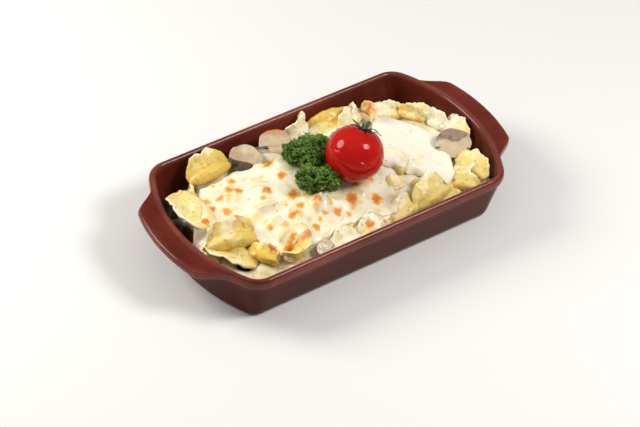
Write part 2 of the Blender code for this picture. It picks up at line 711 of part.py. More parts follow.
def build_mushroom(name, x, y, z, turn, tilt, radius, stem, material, collection):
    """A mushroom cut lengthways: cap and stub of stem turned half way round, then shut by the cut."""
    steps, sweep = 12, 9
    bm = bmesh.new()
    rows = []
    for j in range(sweep):
        angle = math.pi * j / (sweep - 1)
        row = []
        for i in range(1, steps):
            across, height = mushroom_half_section(i / (steps - 1), stem)
            row.append(bm.verts.new((
                across * math.cos(angle) * radius * MM,
                across * math.sin(angle) * radius * MM * MUSHROOM_DEPTH,
                height * radius * MM,
            )))
        rows.append(row)
    crown = bm.verts.new((0.0, 0.0, 0.88 * radius * MM))
    foot = bm.verts.new((0.0, 0.0, -0.67 * radius * MM))
    for lower, upper in zip(rows, rows[1:]):
        for i in range(steps - 2):
            bm.faces.new((lower[i], lower[i + 1], upper[i + 1], upper[i]))
        bm.faces.new((crown, lower[0], upper[0]))
        bm.faces.new((foot, upper[-1], lower[-1]))
    left, right = rows[0], rows[-1]
    bm.faces.new((crown, right[0], left[0]))
    bm.faces.new((foot, left[-1], right[-1]))
    for i in range(steps - 2):
        bm.faces.new((left[i], right[i], right[i + 1], left[i + 1]))
    bm.transform(placing(x * MM, y * MM, z * MM, turn, tilt, 0.0))
    mesh = mesh_from_bmesh(name, bm)
    kept_inside(mesh)
    add_object(name, mesh, material, collection)


def main():
    """Build every piece in a collection of its own name."""
    clear_scene()
    noise.seed_set(NOISE_SEED)
    collection = bpy.data.collections.new("baked_tortellini_dish")
    bpy.context.scene.collection.children.link(collection)
    glaze = surface("glazed_stoneware", (0.16, 0.030, 0.022), 0.16)
    dough = surface("egg_pasta", (0.83, 0.66, 0.26), 0.45)
    melt = surface("melted_cheese", (0.94, 0.86, 0.66), 0.35)
    skin = surface("tomato_skin", (0.60, 0.012, 0.008), 0.12)
    green = surface("calyx_green", (0.05, 0.07, 0.02), 0.6)
    leaf = surface("parsley_leaf", (0.04, 0.13, 0.015), 0.5)
    cap = surface("mushroom_flesh", (0.56, 0.45, 0.33), 0.5)

    build_dish(glaze, collection)
    edge = edge_ring(FOOD_SIDE_STEPS)
    cheese_edge = smooth_loop(CHEESE_CORNERS)
    flat, faces, cheese_loop = plan_triangles(edge, cheese_edge)
    heap = add_object("pasta_heap", core_mesh(flat, faces, edge), dough, collection)
    cheese = add_object("melted_cheese", cheese_mesh(flat, faces, cheese_loop), melt, collection)
    build_tomato(skin, collection)
    build_calyx(green, collection)
    build_parsley(leaf, collection, [tree_of(heap.data), tree_of(cheese.data)])
    for row in MUSHROOMS:
        build_mushroom(*row, cap, collection)

    pieces = []
    for index, (x, y, lift, heading, lean, roll, half, curl) in enumerate(TORTELLINI):
        mesh = tortellino_mesh(half * MM, curl, 1.9 * index)
        base = core_height(x * MM, y * MM) + lift * MM
        mesh.transform(placing(x * MM, y * MM, base, heading, lean, roll))
        kept_inside(mesh)
        pieces.append(mesh)
    join_all(heap, pieces, "tortellini_parts")


main()
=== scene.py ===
"""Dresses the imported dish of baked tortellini: glaze, pasta, melted cheese, tomato, parsley, mushrooms."""

from __future__ import annotations

import logging
import math
import random
from dataclasses import dataclass, field
from enum import Enum
from typing import Callable, Sequence

import bmesh
import bpy
import numpy as np
from mathutils import Matrix, Vector, noise
from mathutils.bvhtree import BVHTree
from mathutils.kdtree import KDTree

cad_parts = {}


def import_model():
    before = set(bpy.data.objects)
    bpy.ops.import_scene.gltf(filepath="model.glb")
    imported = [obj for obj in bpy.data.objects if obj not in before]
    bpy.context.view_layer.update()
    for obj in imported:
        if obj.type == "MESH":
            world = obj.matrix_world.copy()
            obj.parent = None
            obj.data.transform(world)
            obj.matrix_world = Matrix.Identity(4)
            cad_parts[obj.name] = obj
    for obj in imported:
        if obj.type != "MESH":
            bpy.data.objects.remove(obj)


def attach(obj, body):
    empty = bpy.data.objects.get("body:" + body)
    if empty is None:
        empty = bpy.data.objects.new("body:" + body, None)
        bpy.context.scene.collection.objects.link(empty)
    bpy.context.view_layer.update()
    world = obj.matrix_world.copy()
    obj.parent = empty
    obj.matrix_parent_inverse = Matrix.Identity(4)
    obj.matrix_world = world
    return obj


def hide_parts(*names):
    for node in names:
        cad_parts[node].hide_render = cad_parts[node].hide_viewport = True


LOG = logging.getLogger("baked_tortellini")
MM = 0.001
UP = Vector((0.0, 0.0, 1.0))
NOISE_SEED = 7
Colour = tuple[float, float, float]


# Mesh handling


def choose(obj: bpy.types.Object) -> None:
    """Make one object the only selected and the active one.

    Args:
        obj: the object to work on.
    """
    bpy.ops.object.select_all(action="DESELECT")
    obj.select_set(True)
    bpy.context.view_layer.objects.active = obj


def places(obj: bpy.types.Object) -> np.ndarray:
    """Read where the mesh's vertices are.

    Args:
        obj: the object.

    Returns:
        Rows of x, y and z, in metres.
    """
    flat = np.empty(len(obj.data.vertices) * 3, np.float32)
    obj.data.vertices.foreach_get("co", flat)
    return flat.reshape(-1, 3).astype(float)


def set_places(obj: bpy.types.Object, points: np.ndarray) -> None:
    """Move the mesh's vertices to the rows of points."""
    obj.data.vertices.foreach_set("co", points.astype(np.float32).ravel())
    obj.data.update()


def store(obj: bpy.types.Object, name: str, values: np.ndarray | float) -> None:
    """Keep a number for each vertex under a name that materials can read.

    Args:
        obj: the object.
        name: the attribute's name.
        values: one number for each vertex, or the same for all.
    """
    attribute = obj.data.attributes.get(name) or obj.data.attributes.new(name, "FLOAT", "POINT")
    numbers = np.zeros(len(obj.data.vertices)) + values
    attribute.data.foreach_set("value", numbers.astype(np.float32))


def shaped_grid(
    name: str,
    columns: int,
    rows: int,
    shape: Callable[[np.ndarray, np.ndarray], np.ndarray],
) -> bpy.types.Object:
    """Add a grid and bend it into a shape.

    Args:
        name: the new object's name.
        columns: faces along the first direction.
        rows: faces along the second direction.
        shape: gives points for the two directions' shares from 0 to 1.

    Returns:
        The new object.
    """
    bpy.ops.object.select_all(action="DESELECT")
    bpy.ops.mesh.primitive_grid_add(x_subdivisions=columns, y_subdivisions=rows, size=1.0)
    obj = bpy.context.object
    obj.name = name
    obj.data.name = name
    shares = places(obj) + 0.5
    set_places(obj, shape(shares[:, 0], shares[:, 1]))
    return obj


def close_seams(obj: bpy.types.Object, distance: float = 0.02 * MM) -> None:
    """Merge the mesh's doubled points and turn its faces outwards.

    Args:
        obj: the object.
        distance: how near two points are merged, in metres.
    """
    choose(obj)
    bpy.ops.object.mode_set(mode="EDIT")
    bpy.ops.mesh.select_all(action="SELECT")
    bpy.ops.mesh.remove_doubles(threshold=distance)
    bpy.ops.mesh.normals_make_consistent(inside=False)
    bpy.ops.object.mode_set(mode="OBJECT")


def apply_modifier(obj: bpy.types.Object, kind: str, **settings: object) -> None:
    """Add a modifier and apply it.

    Args:
        obj: the object.
        kind: the modifier's type.
        settings: its properties.
    """
    choose(obj)
    modifier = obj.modifiers.new(kind.lower(), kind)
    for key, value in settings.items():
        setattr(modifier, key, value)
    bpy.ops.object.modifier_apply(modifier=modifier.name)


def subdivide(obj: bpy.types.Object, levels: int = 1) -> None:
    """Smooth the mesh by subdivision."""
    apply_modifier(obj, "SUBSURF", levels=levels, render_levels=levels)


def join(parts: list[bpy.types.Object], name: str) -> bpy.types.Object:
    """Join several objects into one.

    Args:
        parts: the objects.
        name: the new object's name.

    Returns:
        The joined object.
    """
    bpy.ops.object.select_all(action="DESELECT")
    for part in parts:
        part.select_set(True)
    bpy.context.view_layer.objects.active = parts[0]
    bpy.ops.object.join()
    joined = bpy.context.object
    joined.name = name
    joined.data.name = name
    return joined


def settle(obj: bpy.types.Object, material: bpy.types.Material, smooth: bool = True) -> None:
    """Put the object's place into its mesh and give it its one material.

    Args:
        obj: the finished piece.
        material: its finish.
        smooth: whether its faces are shaded smooth.
    """
    choose(obj)
    bpy.ops.object.transform_apply(location=True, rotation=True, scale=True)
    obj.data.materials.clear()
    obj.data.materials.append(material)
    if smooth:
        bpy.ops.object.shade_smooth()


def tree_of(obj: bpy.types.Object) -> BVHTree:
    """Return a search tree over the object's faces."""
    mesh = obj.data
    return BVHTree.FromPolygons([v.co for v in mesh.vertices], [p.vertices for p in mesh.polygons])


def roughness(points: np.ndarray, scale: float, shift: Sequence[float] = (0.0, 0.0, 0.0)) -> np.ndarray:
    """Return a noise number for each row of x, y, z."""
    return np.array([noise.noise(Vector(point) * scale + Vector(shift)) for point in points])


def wrinkles(points: np.ndarray, scale: float, shift: Sequence[float] = (0.0, 0.0, 0.0)) -> np.ndarray:
    """Return a noise vector for each row of x, y, z."""
    return np.array([noise.noise_vector(Vector(point) * scale + Vector(shift)) for point in points])


def turned(heading: float, lean: float, roll: float = 0.0) -> np.ndarray:
    """Return the matrix of a piece that leans back and is then turned, in degrees."""
    matrix = Matrix.Rotation(math.radians(heading), 3, "Z") @ Matrix.Rotation(-math.radians(lean), 3, "X")
    return np.array(matrix @ Matrix.Rotation(math.radians(roll), 3, "Y"))


def ease(value: np.ndarray | float) -> np.ndarray | float:
    """Return 0 to 1 with soft ends while value goes from 0 to 1."""
    share = np.clip(value, 0.0, 1.0)
    return share * share * (3.0 - 2.0 * share)


def blurred(heights: np.ndarray, radius: float) -> np.ndarray:
    """Blur a grid of heights.

    Args:
        heights: the grid.
        radius: the blur's radius in grid steps.

    Returns:
        A new grid of the same size.
    """
    reach = max(1, int(3 * radius))
    weights = np.exp(-0.5 * (np.arange(-reach, reach + 1) / radius) ** 2)
    weights /= weights.sum()
    padded = np.pad(heights, reach, mode="edge")
    across = np.apply_along_axis(lambda row: np.convolve(row, weights, "valid"), 1, padded)
    return np.apply_along_axis(lambda row: np.convolve(row, weights, "valid"), 0, across)


# Shader handling


class Value:
    """A node's output that Python's arithmetic extends with Math nodes."""

    def __init__(self, nodes: "Nodes", socket: bpy.types.NodeSocket) -> None:
        """Keep the node maker and the socket."""
        self.nodes = nodes
        self.socket = socket

    def _maths(self, operation: str, first: object, second: object, clamp: bool = False) -> "Value":
        """Return one Math node's result."""
        settings = {"operation": operation, "use_clamp": clamp}
        return self.nodes.add("ShaderNodeMath", settings, {0: first, 1: second})

    def __add__(self, other: object) -> "Value":
        """Add."""
        return self._maths("ADD", self, other)

    __radd__ = __add__

    def __sub__(self, other: object) -> "Value":
        """Subtract."""
        return self._maths("SUBTRACT", self, other)

    def __rsub__(self, other: object) -> "Value":
        """Subtract from a number."""
        return self._maths("SUBTRACT", other, self)

    def __mul__(self, other: object) -> "Value":
        """Multiply."""
        return self._maths("MULTIPLY", self, other)

    __rmul__ = __mul__

    def over(self, low: float, high: float) -> "Value":
        """Return 0 below low and 1 above high, with a straight ramp between."""
        return self._maths("MULTIPLY", self - low, 1.0 / (high - low), clamp=True)


class Nodes:
    """Builds one material's nodes around its Principled shader."""

    def __init__(self, name: str) -> None:
        """Make the material.

        Args:
            name: the material's name.
        """
        self.material = bpy.data.materials.new(name)
        self.material.use_nodes = True
        self.tree = self.material.node_tree
        self.shader = self.tree.nodes["Principled BSDF"]

    def add(
        self, kind: str, settings: dict[str, object], inputs: dict[object, object], output: object = 0,
    ) -> Value:
        """Add a node.

        Args:
            kind: the node's type.
            settings: its own properties, such as a Math node's operation.
            inputs: a value or a link for each named or numbered socket.
            output: the socket that is returned.

        Returns:
            The output as a value.
        """
        node = self.tree.nodes.new(kind)
        for key, value in settings.items():
            setattr(node, key, value)
        for key, value in inputs.items():
            if isinstance(value, Value):
                self.tree.links.new(value.socket, node.inputs[key])
            else:
                node.inputs[key].default_value = value
        return Value(self, node.outputs[output])

    def place(self) -> Value:
        """Return the point on the object."""
        return self.add("ShaderNodeTexCoord", {}, {}, "Object")

    def attribute(self, name: str) -> Value:
        """Return a number kept for each vertex."""
        return self.add("ShaderNodeAttribute", {"attribute_name": name}, {}, "Fac")

    def noise(self, scale: float, detail: float = 3.0, roughness: float = 0.5, warp: float = 0.0) -> Value:
        """Return a noise from 0 to 1 over the object's points."""
        inputs = {"Vector": self.place(), "Scale": scale, "Detail": detail}
        inputs |= {"Roughness": roughness, "Distortion": warp}
        return self.add("ShaderNodeTexNoise", {}, inputs, "Fac")

    def cells(self, scale: float, randomness: float = 1.0) -> Value:
        """Return the distance to the nearest of many scattered points."""
        inputs = {"Vector": self.place(), "Scale": scale, "Randomness": randomness}
        return self.add("ShaderNodeTexVoronoi", {}, inputs, "Distance")

    def mix(self, share: object, first: object, second: object) -> Value:
        """Mix two colours.

        Args:
            share: 0 for the first to 1 for the second.
            first: a colour or a link.
            second: a colour or a link.

        Returns:
            The mixed colour.
        """
        colours = [c if isinstance(c, Value) else (*c, 1.0) for c in (first, second)]
        inputs = {0: share, 6: colours[0], 7: colours[1]}
        return self.add("ShaderNodeMix", {"data_type": "RGBA"}, inputs, 2)

    def feed(self, socket: str, value: object) -> None:
        """Link or set one of the shader's sockets.

        Args:
            socket: the socket's name.
            value: a link, or what it is all over the surface.
        """
        if isinstance(value, Value):
            self.tree.links.new(value.socket, self.shader.inputs[socket])
        else:
            self.shader.inputs[socket].default_value = value

    def let_light_in(self, weight: float, radius: tuple[float, float, float]) -> None:
        """Scatter light under the surface.

        Args:
            weight: how much of the light goes in.
            radius: how far red, green and blue go, in metres.
        """
        self.feed("Subsurface Weight", weight)
        self.feed("Subsurface Radius", radius)
        self.feed("Subsurface Scale", 1.0)

    def bump(self, height: Value, depth: float, strength: float = 1.0) -> None:
        """Raise the surface by a height from 0 to 1.

        Args:
            height: the relief.
            depth: how far 1 stands above 0, in metres.
            strength: how much of it shows.
        """
        inputs = {"Height": height, "Distance": depth, "Strength": strength}
        self.feed("Normal", self.add("ShaderNodeBump", {}, inputs, "Normal"))


# Finishes


@dataclass(frozen=True)
class GlazeFinish:
    """Glossy red-brown glaze, a little mottled, paler pink on the rim and handle edges, partly where it thins
    and partly as a painted highlight, and darker on the outer wall as painted shade.
    """

    deep: Colour = (0.085, 0.0120, 0.0050)
    bright: Colour = (0.155, 0.0260, 0.0160)
    # paler pink of the rim and handle edges: partly thin glaze, partly a painted highlight
    thin: Colour = (0.27, 0.072, 0.052)
    # painted shade: the colour that darkens the whole outer wall
    painted_outer_shade: Colour = (0.062, 0.0085, 0.0030)
    speck: Colour = (0.04, 0.008, 0.006)

    def make(self) -> bpy.types.Material:
        """Build the finish's nodes.

        Returns:
            The material.
        """
        nodes = Nodes("red_brown_glaze")
        cloud = nodes.noise(26.0, 4.0, 0.55)
        grain = nodes.noise(900.0, 2.0)
        specks = 1.0 - nodes.cells(420.0).over(0.05, 0.16)
        colour = nodes.mix(cloud.over(0.35, 0.7), self.deep, self.bright)
        edge = nodes.attribute("edge")
        # Painted highlight, partly thin glaze: the rim and handle edges are mixed towards the paler pink.
        colour = nodes.mix(edge.over(0.0, 1.0) * cloud.over(0.2, 0.8) * 0.7, colour, self.thin)
        # Painted shade: the outer wall, where the edge number falls to -1, is darkened.
        colour = nodes.mix(edge.over(0.0, -1.0) * 0.85, colour, self.painted_outer_shade)
        colour = nodes.mix(specks * cloud.over(0.45, 0.6) * 0.35, colour, self.speck)
        nodes.feed("Base Color", colour)
        nodes.feed("Roughness", 0.17 + cloud * 0.10 + grain * 0.05)
        nodes.feed("Coat Weight", 0.05 + edge.over(0.0, 0.6) * 0.30)
        nodes.feed("Coat Roughness", 0.06)
        nodes.feed("Specular IOR Level", 0.07)
        nodes.bump(cloud * 0.5 + grain * 0.08, 0.08 * MM, 0.2)
        return nodes.material


@dataclass(frozen=True)
class PastaFinish:
    """Moist egg dough with herb flecks, cream clinging to it, browned tips and a painted shade of deeper
    yellow low by the fold.
    """

    pale: Colour = (0.88, 0.76, 0.38)
    yellow: Colour = (0.84, 0.60, 0.10)
    # painted shade: the deeper yellow laid low on each piece, by its fold
    deep: Colour = (0.60, 0.34, 0.02)
    cream: Colour = (0.93, 0.87, 0.68)
    herb: Colour = (0.27, 0.29, 0.05)
    toasted: Colour = (0.75, 0.26, 0.035)
    charred: Colour = (0.36, 0.10, 0.015)

    def make(self) -> bpy.types.Material:
        """Build the finish's nodes.

        Returns:
            The material.
        """
        nodes = Nodes("egg_pasta")
        tone = nodes.attribute("tone")
        rise = nodes.attribute("rise")
        toast = nodes.attribute("toast")
        cloud = nodes.noise(75.0, 4.0, 0.6)
        fine = nodes.noise(420.0, 3.0)
        clinging = nodes.noise(48.0, 5.0, 0.62, 0.4)
        colour = nodes.mix((tone + (cloud - 0.5) * 0.6).over(0.0, 1.0), self.pale, self.yellow)
        # Painted shade: deeper yellow low on each piece, near the filled fold, stronger on the yellower
        # pieces.
        hollow = (1.0 - rise).over(0.25, 0.85) * tone
        colour = nodes.mix(hollow * 0.45, colour, self.deep)
        colour = nodes.mix(rise.over(0.80, 1.0) * 0.75, colour, self.cream)
        clinging_cream = (clinging + nodes.attribute("cream") * 0.28).over(0.54, 0.70)
        colour = nodes.mix(clinging_cream * 0.85, colour, self.cream)
        flecks = (1.0 - nodes.cells(330.0).over(0.12, 0.44)) * nodes.noise(150.0, 2.0).over(0.43, 0.56)
        colour = nodes.mix(flecks * 0.60, colour, self.herb)
        brown = (toast + (fine - 0.5) * 0.35 + (cloud - 0.5) * 0.4) * toast.over(0.02, 0.2)
        colour = nodes.mix(brown.over(0.25, 0.75), colour, self.toasted)
        colour = nodes.mix(brown.over(0.85, 1.35) * 0.7, colour, self.charred)
        nodes.feed("Base Color", colour)
        nodes.feed("Roughness", 0.36 + fine * 0.16 - clinging.over(0.5, 0.7) * 0.1)
        nodes.let_light_in(0.22, (0.0035, 0.0022, 0.0009))
        nodes.feed("Coat Weight", 0.18)
        nodes.feed("Coat Roughness", 0.18)
        nodes.bump(cloud * 0.5 + fine * 0.5 + clinging.over(0.5, 0.65) * 0.5, 0.45 * MM, 0.6)
        return nodes.material


@dataclass(frozen=True)
class CheeseFinish:
    """Melted cheese: cream white, yellow where it is thin, orange and brown where it has toasted."""

    name: str = "melted_cheese"
    white: Colour = (0.90, 0.81, 0.62)
    warm: Colour = (0.86, 0.68, 0.36)
    thin: Colour = (0.80, 0.62, 0.20)
    golden: Colour = (0.92, 0.66, 0.24)
    toasted: Colour = (0.84, 0.33, 0.040)
    brown: Colour = (0.54, 0.145, 0.014)
    herb: Colour = (0.22, 0.24, 0.08)

    def make(self) -> bpy.types.Material:
        """Build the finish's nodes.

        Returns:
            The material.
        """
        nodes = Nodes(self.name)
        toast = nodes.attribute("toast")
        thin = nodes.attribute("thin")
        cloud = nodes.noise(55.0, 4.0, 0.6)
        fine = nodes.noise(520.0, 3.0)
        pits = nodes.noise(210.0, 3.0, 0.55, 0.5)
        colour = nodes.mix(cloud.over(0.50, 0.80) * 0.5, self.white, self.warm)
        colour = nodes.mix((thin + (cloud - 0.5) * 0.8).over(0.35, 1.0) * 0.75, colour, self.thin)
        ragged = toast + ((pits - 0.5) * 0.55 + (fine - 0.5) * 0.25) * toast.over(0.0, 0.35)
        colour = nodes.mix(ragged.over(0.05, 0.40) * 0.80, colour, self.golden)
        colour = nodes.mix(ragged.over(0.30, 0.72), colour, self.toasted)
        colour = nodes.mix(ragged.over(0.75, 1.20) * 0.80, colour, self.brown)
        flecks = (1.0 - nodes.cells(260.0).over(0.10, 0.20)) * nodes.noise(90.0, 2.0).over(0.56, 0.60)
        colour = nodes.mix(flecks * 0.7, colour, self.herb)
        nodes.feed("Base Color", colour)
        nodes.feed("Roughness", 0.30 + fine * 0.12 + ragged.over(0.4, 1.0) * 0.12)
        nodes.let_light_in(0.30, (0.0045, 0.0036, 0.0024))
        nodes.feed("Coat Weight", 0.22)
        nodes.feed("Coat Roughness", 0.14)
        nodes.bump(pits * 0.45 + cloud * 0.35 + fine * 0.08 - ragged.over(0.4, 1.0) * 0.25, 0.7 * MM, 0.5)
        return nodes.material


@dataclass(frozen=True)
class SauceFinish:
    """Cream sauce that pools between the pieces."""

    cream: Colour = (0.86, 0.80, 0.62)
    oily: Colour = (0.60, 0.46, 0.16)
    herb: Colour = (0.20, 0.19, 0.07)
    deep: Colour = (0.055, 0.032, 0.010)

    def make(self) -> bpy.types.Material:
        """Build the finish's nodes.

        Returns:
            The material.
        """
        nodes = Nodes("cream_sauce")
        cloud = nodes.noise(60.0, 4.0, 0.6)
        fine = nodes.noise(380.0, 3.0)
        flecks = (1.0 - nodes.cells(240.0).over(0.12, 0.24)) * cloud.over(0.4, 0.6)
        colour = nodes.mix(cloud.over(0.42, 0.72), self.cream, self.oily)
        colour = nodes.mix(flecks * 0.5, colour, self.herb)
        shaded = (nodes.attribute("depth") + (cloud - 0.5) * 0.3).over(0.1, 0.8)
        colour = nodes.mix(shaded, colour, self.deep)
        nodes.feed("Base Color", colour)
        nodes.feed("Roughness", 0.25 + fine * 0.15)
        nodes.let_light_in(0.2, (0.004, 0.003, 0.0018))
        nodes.feed("Coat Weight", 0.3)
        nodes.bump(cloud * 0.6 + fine * 0.2, 0.8 * MM, 0.6)
        return nodes.material


@dataclass(frozen=True)
class TomatoFinish:
    """Taut glossy red skin, darker round the stem, with fine pale pores."""

    red: Colour = (0.40, 0.004, 0.002)
    bright: Colour = (0.50, 0.007, 0.003)
    shoulder: Colour = (0.26, 0.004, 0.002)
    pore: Colour = (0.9, 0.35, 0.15)

    def make(self) -> bpy.types.Material:
        """Build the finish's nodes.

        Returns:
            The material.
        """
        nodes = Nodes("tomato_skin")
        cloud = nodes.noise(70.0, 3.0)
        fine = nodes.noise(700.0, 2.0)
        wrinkle = nodes.attribute("wrinkle")
        colour = nodes.mix(cloud.over(0.35, 0.7), self.red, self.bright)
        colour = nodes.mix(nodes.attribute("shoulder") * 0.6, colour, self.shoulder)
        pores = 1.0 - nodes.cells(520.0).over(0.05, 0.14)
        colour = nodes.mix(pores * 0.12, colour, self.pore)
        nodes.feed("Base Color", colour)
        nodes.feed("Roughness", 0.13 + fine * 0.06)
        nodes.let_light_in(0.12, (0.006, 0.0012, 0.0006))
        nodes.feed("Coat Weight", 0.28)
        nodes.feed("Coat Roughness", 0.04)
        nodes.feed("Specular IOR Level", 0.06)
        nodes.bump(cloud * 0.4 + fine * 0.05 + wrinkle * 0.6, 0.35 * MM, 0.35)
        return nodes.material


@dataclass(frozen=True)
class LeafFinish:
    """A green that runs from a dark to a light tone, with veins in the relief and a painted highlight on the
    leaflets' outer tips.
    """

    name: str
    dark: Colour
    light: Colour
    # painted highlight on the leaflets' outer tips
    painted_highlight: Colour
    gloss: float = 0.4

    def make(self) -> bpy.types.Material:
        """Build the finish's nodes.

        Returns:
            The material.
        """
        nodes = Nodes(self.name)
        tone = nodes.attribute("tone")
        rise = nodes.attribute("rise")
        cloud = nodes.noise(260.0, 3.0)
        fine = nodes.noise(1500.0, 2.0)
        colour = nodes.mix((tone * 0.7 + cloud * 0.5).over(0.15, 0.95), self.dark, self.light)
        # Painted highlight: the leaflets' outer tips are lightened.
        colour = nodes.mix(rise.over(0.7, 1.0) * 0.45, colour, self.painted_highlight)
        nodes.feed("Base Color", colour)
        nodes.feed("Roughness", self.gloss + fine * 0.2)
        nodes.let_light_in(0.08, (0.0006, 0.0012, 0.0003))
        nodes.bump(cloud * 0.7 + fine * 0.3, 0.25 * MM, 0.6)
        return nodes.material


@dataclass(frozen=True)
class MushroomFinish:
    """Sliced mushroom: cream flesh, grey-brown cap skin and dark gills, glazed with sauce."""

    flesh: Colour = (0.66, 0.52, 0.32)
    skin: Colour = (0.27, 0.185, 0.145)
    gill: Colour = (0.15, 0.09, 0.058)
    sauce: Colour = (0.86, 0.80, 0.62)
    toasted: Colour = (0.62, 0.24, 0.05)

    def make(self) -> bpy.types.Material:
        """Build the finish's nodes.

        Returns:
            The material.
        """
        nodes = Nodes("mushroom")
        cloud = nodes.noise(110.0, 4.0, 0.6)
        fine = nodes.noise(650.0, 3.0)
        toast = nodes.attribute("toast")
        skin = nodes.attribute("skin") + (cloud - 0.5) * 0.5
        gill = nodes.attribute("gill") + (cloud - 0.5) * 0.4
        colour = nodes.mix(cloud.over(0.3, 0.8) * 0.4, self.flesh, self.skin)
        colour = nodes.mix(skin.over(0.35, 0.75) * 0.85, colour, self.skin)
        marks = nodes.noise(190.0, 3.0).over(0.56, 0.66) * skin.over(0.5, 0.8)
        colour = nodes.mix(marks * 0.75, colour, self.gill)
        colour = nodes.mix(gill.over(0.35, 0.70), colour, self.gill)
        colour = nodes.mix(nodes.noise(60.0, 4.0).over(0.55, 0.68) * 0.7, colour, self.sauce)
        colour = nodes.mix((toast + (fine - 0.5) * 0.4).over(0.3, 0.9), colour, self.toasted)
        nodes.feed("Base Color", colour)
        nodes.feed("Roughness", 0.34 + fine * 0.16)
        nodes.let_light_in(0.15, (0.003, 0.002, 0.0012))
        nodes.feed("Coat Weight", 0.2)
        nodes.bump(cloud * 0.6 + fine * 0.3, 0.4 * MM, 0.6)
        return nodes.material


@dataclass(frozen=True)
class FloorFinish:
    """Plain pale studio paper."""

    colour: Colour = (0.80, 0.79, 0.77)
    grain: Colour = (0.76, 0.75, 0.73)

    def make(self) -> bpy.types.Material:
        """Build the finish's nodes.

        Returns:
            The material.
        """
        nodes = Nodes("studio_paper")
        nodes.feed("Base Color", nodes.mix(nodes.noise(6.0, 2.0) * 0.2, self.colour, self.grain))
        nodes.feed("Roughness", 0.85)
        return nodes.material


# The dish's measures


@dataclass(frozen=True)
class DishPlan:
    """The dish's outline in plan and the line of its inner wall."""

    PUSHES = 40

    half_length: float = 118.0 * MM
    half_width: float = 64.5 * MM
    end_radius: float = 114.0 * MM
    corner_radius: float = 17.0 * MM
    least_corner: float = 5.0 * MM
    rim_height: float = 38.0 * MM
    rim_width: float = 5.0 * MM
    draft: float = 0.218
    floor: float = 5.0 * MM
    floor_rounding: float = 4.5 * MM
    handle_reach: float = 13.0 * MM
    handle_flat: float = 32.0 * MM
    handle_fade: float = 14.0 * MM

    @property
    def end_centre(self) -> float:
        """Distance of the end arcs' centres from the middle."""
        return self.half_length - self.end_radius

    def rounding(self, inset: np.ndarray | float) -> tuple[np.ndarray | float, ...]:
        """Return what the outline is drawn from, moved inwards.

        Args:
            inset: how far it moves in.

        Returns:
            Half the width, the corner's radius, the end arc's radius, and the corner's centre as x and y.
        """
        half = self.half_width - inset
        corner = np.maximum(self.corner_radius - inset, self.least_corner)
        radius = self.end_radius - inset
        corner_y = half - corner
        corner_x = self.end_centre + np.sqrt((radius - corner) ** 2 - corner_y**2)
        return half, corner, radius, corner_x, corner_y

    def outline(self, inset: float, end_steps: int, corner_steps: int, side_steps: int) -> np.ndarray:
        """Return the outline moved inwards.

        Args:
            inset: how far it moves in.
            end_steps: points on half of an end arc.
            corner_steps: points on a corner.
            side_steps: points on half of a long side.

        Returns:
            Rows of x and y, all the way round.
        """
        half, corner, radius, corner_x, corner_y = self.rounding(inset)
        turn = math.atan2(corner_y, corner_x - self.end_centre)
        end = turn * np.arange(end_steps) / end_steps
        bend = turn + (math.pi / 2 - turn) * np.arange(corner_steps) / corner_steps
        side = 1.0 - np.arange(side_steps) / side_steps
        quarter = np.concatenate((
            np.column_stack((self.end_centre + radius * np.cos(end), radius * np.sin(end))),
            np.column_stack((corner_x + corner * np.cos(bend), corner_y + corner * np.sin(bend))),
            np.column_stack((corner_x * side, np.full(side_steps, half))),
        ))
        back = quarter[:0:-1]
        return np.concatenate((
            quarter, [(0.0, half)], back * (-1, 1), [(-quarter[0, 0], 0.0)],
            quarter[1:] * (-1, -1), [(0.0, -half)], back * (1, -1),
        ))

    def reach(self, y: np.ndarray) -> np.ndarray:
        """Return how far a handle stands out at each distance from the long axis."""
        return self.handle_reach * (1.0 - ease((np.abs(y) - self.handle_flat) / self.handle_fade))

    def wall_inset(self, height: np.ndarray) -> np.ndarray:
        """Find how far in the inner wall stands.

        Args:
            height: heights over the table.

        Returns:
            The wall's inset at each height.
        """
        top = self.rim_height - 0.55 * self.rim_width
        below = np.maximum(0.0, self.floor + self.floor_rounding - height) / self.floor_rounding
        return self.rim_width + self.draft * (top - height) + 4.0 * MM * below**2

    def half_length_at(self, y: np.ndarray, inset: float) -> np.ndarray:
        """Measure the outline along X.

        Args:
            y: places across the dish.
            inset: how far the outline is moved in.

        Returns:
            Half its length at each y.
        """
        _, corner, radius, corner_x, corner_y = self.rounding(inset)
        join_y = corner_y * radius / (radius - corner)
        off = np.abs(y)
        on_end = self.end_centre + np.sqrt(np.maximum(radius**2 - off**2, 0.0))
        on_corner = corner_x + np.sqrt(np.maximum(corner**2 - (off - corner_y) ** 2, 0.0))
        return np.where(off < join_y, on_end, on_corner)

    def pushed_inside(self, points: np.ndarray, gap: float) -> np.ndarray:
        """Return the points shifted together until they clear the inner wall.

        Args:
            points: rows of x, y, z.
            gap: the least distance to the wall.

        Returns:
            The shifted rows.
        """
        points = points.copy()
        for _ in range(self.PUSHES):
            x, y, z = points.T
            inset = self.wall_inset(np.minimum(z, self.rim_height)) + gap
            inset = np.where(z > self.rim_height + MM, 0.0, inset)
            half, corner, radius, corner_x, corner_y = self.rounding(inset)
            past_end = np.hypot(np.abs(x) - self.end_centre, y) - radius
            past_end = np.where(np.abs(x) > corner_x - corner, past_end, 0.0)
            off_x, off_y = np.abs(x) - corner_x, np.abs(y) - corner_y
            past_corner = np.where((off_x > 0) & (off_y > 0), np.hypot(off_x, off_y) - corner, 0.0)
            back_x = np.maximum(np.maximum(past_end, past_corner), 0.0)
            back_y = np.maximum(np.maximum(np.abs(y) - half, past_corner), 0.0)
            worst = int(np.argmax(np.hypot(back_x, back_y)))
            if back_x[worst] + back_y[worst] <= 0.0:
                break
            points[:, 0] -= math.copysign(back_x[worst] * 1.02, x[worst])
            points[:, 1] -= math.copysign(back_y[worst] * 1.02, y[worst])
        return points


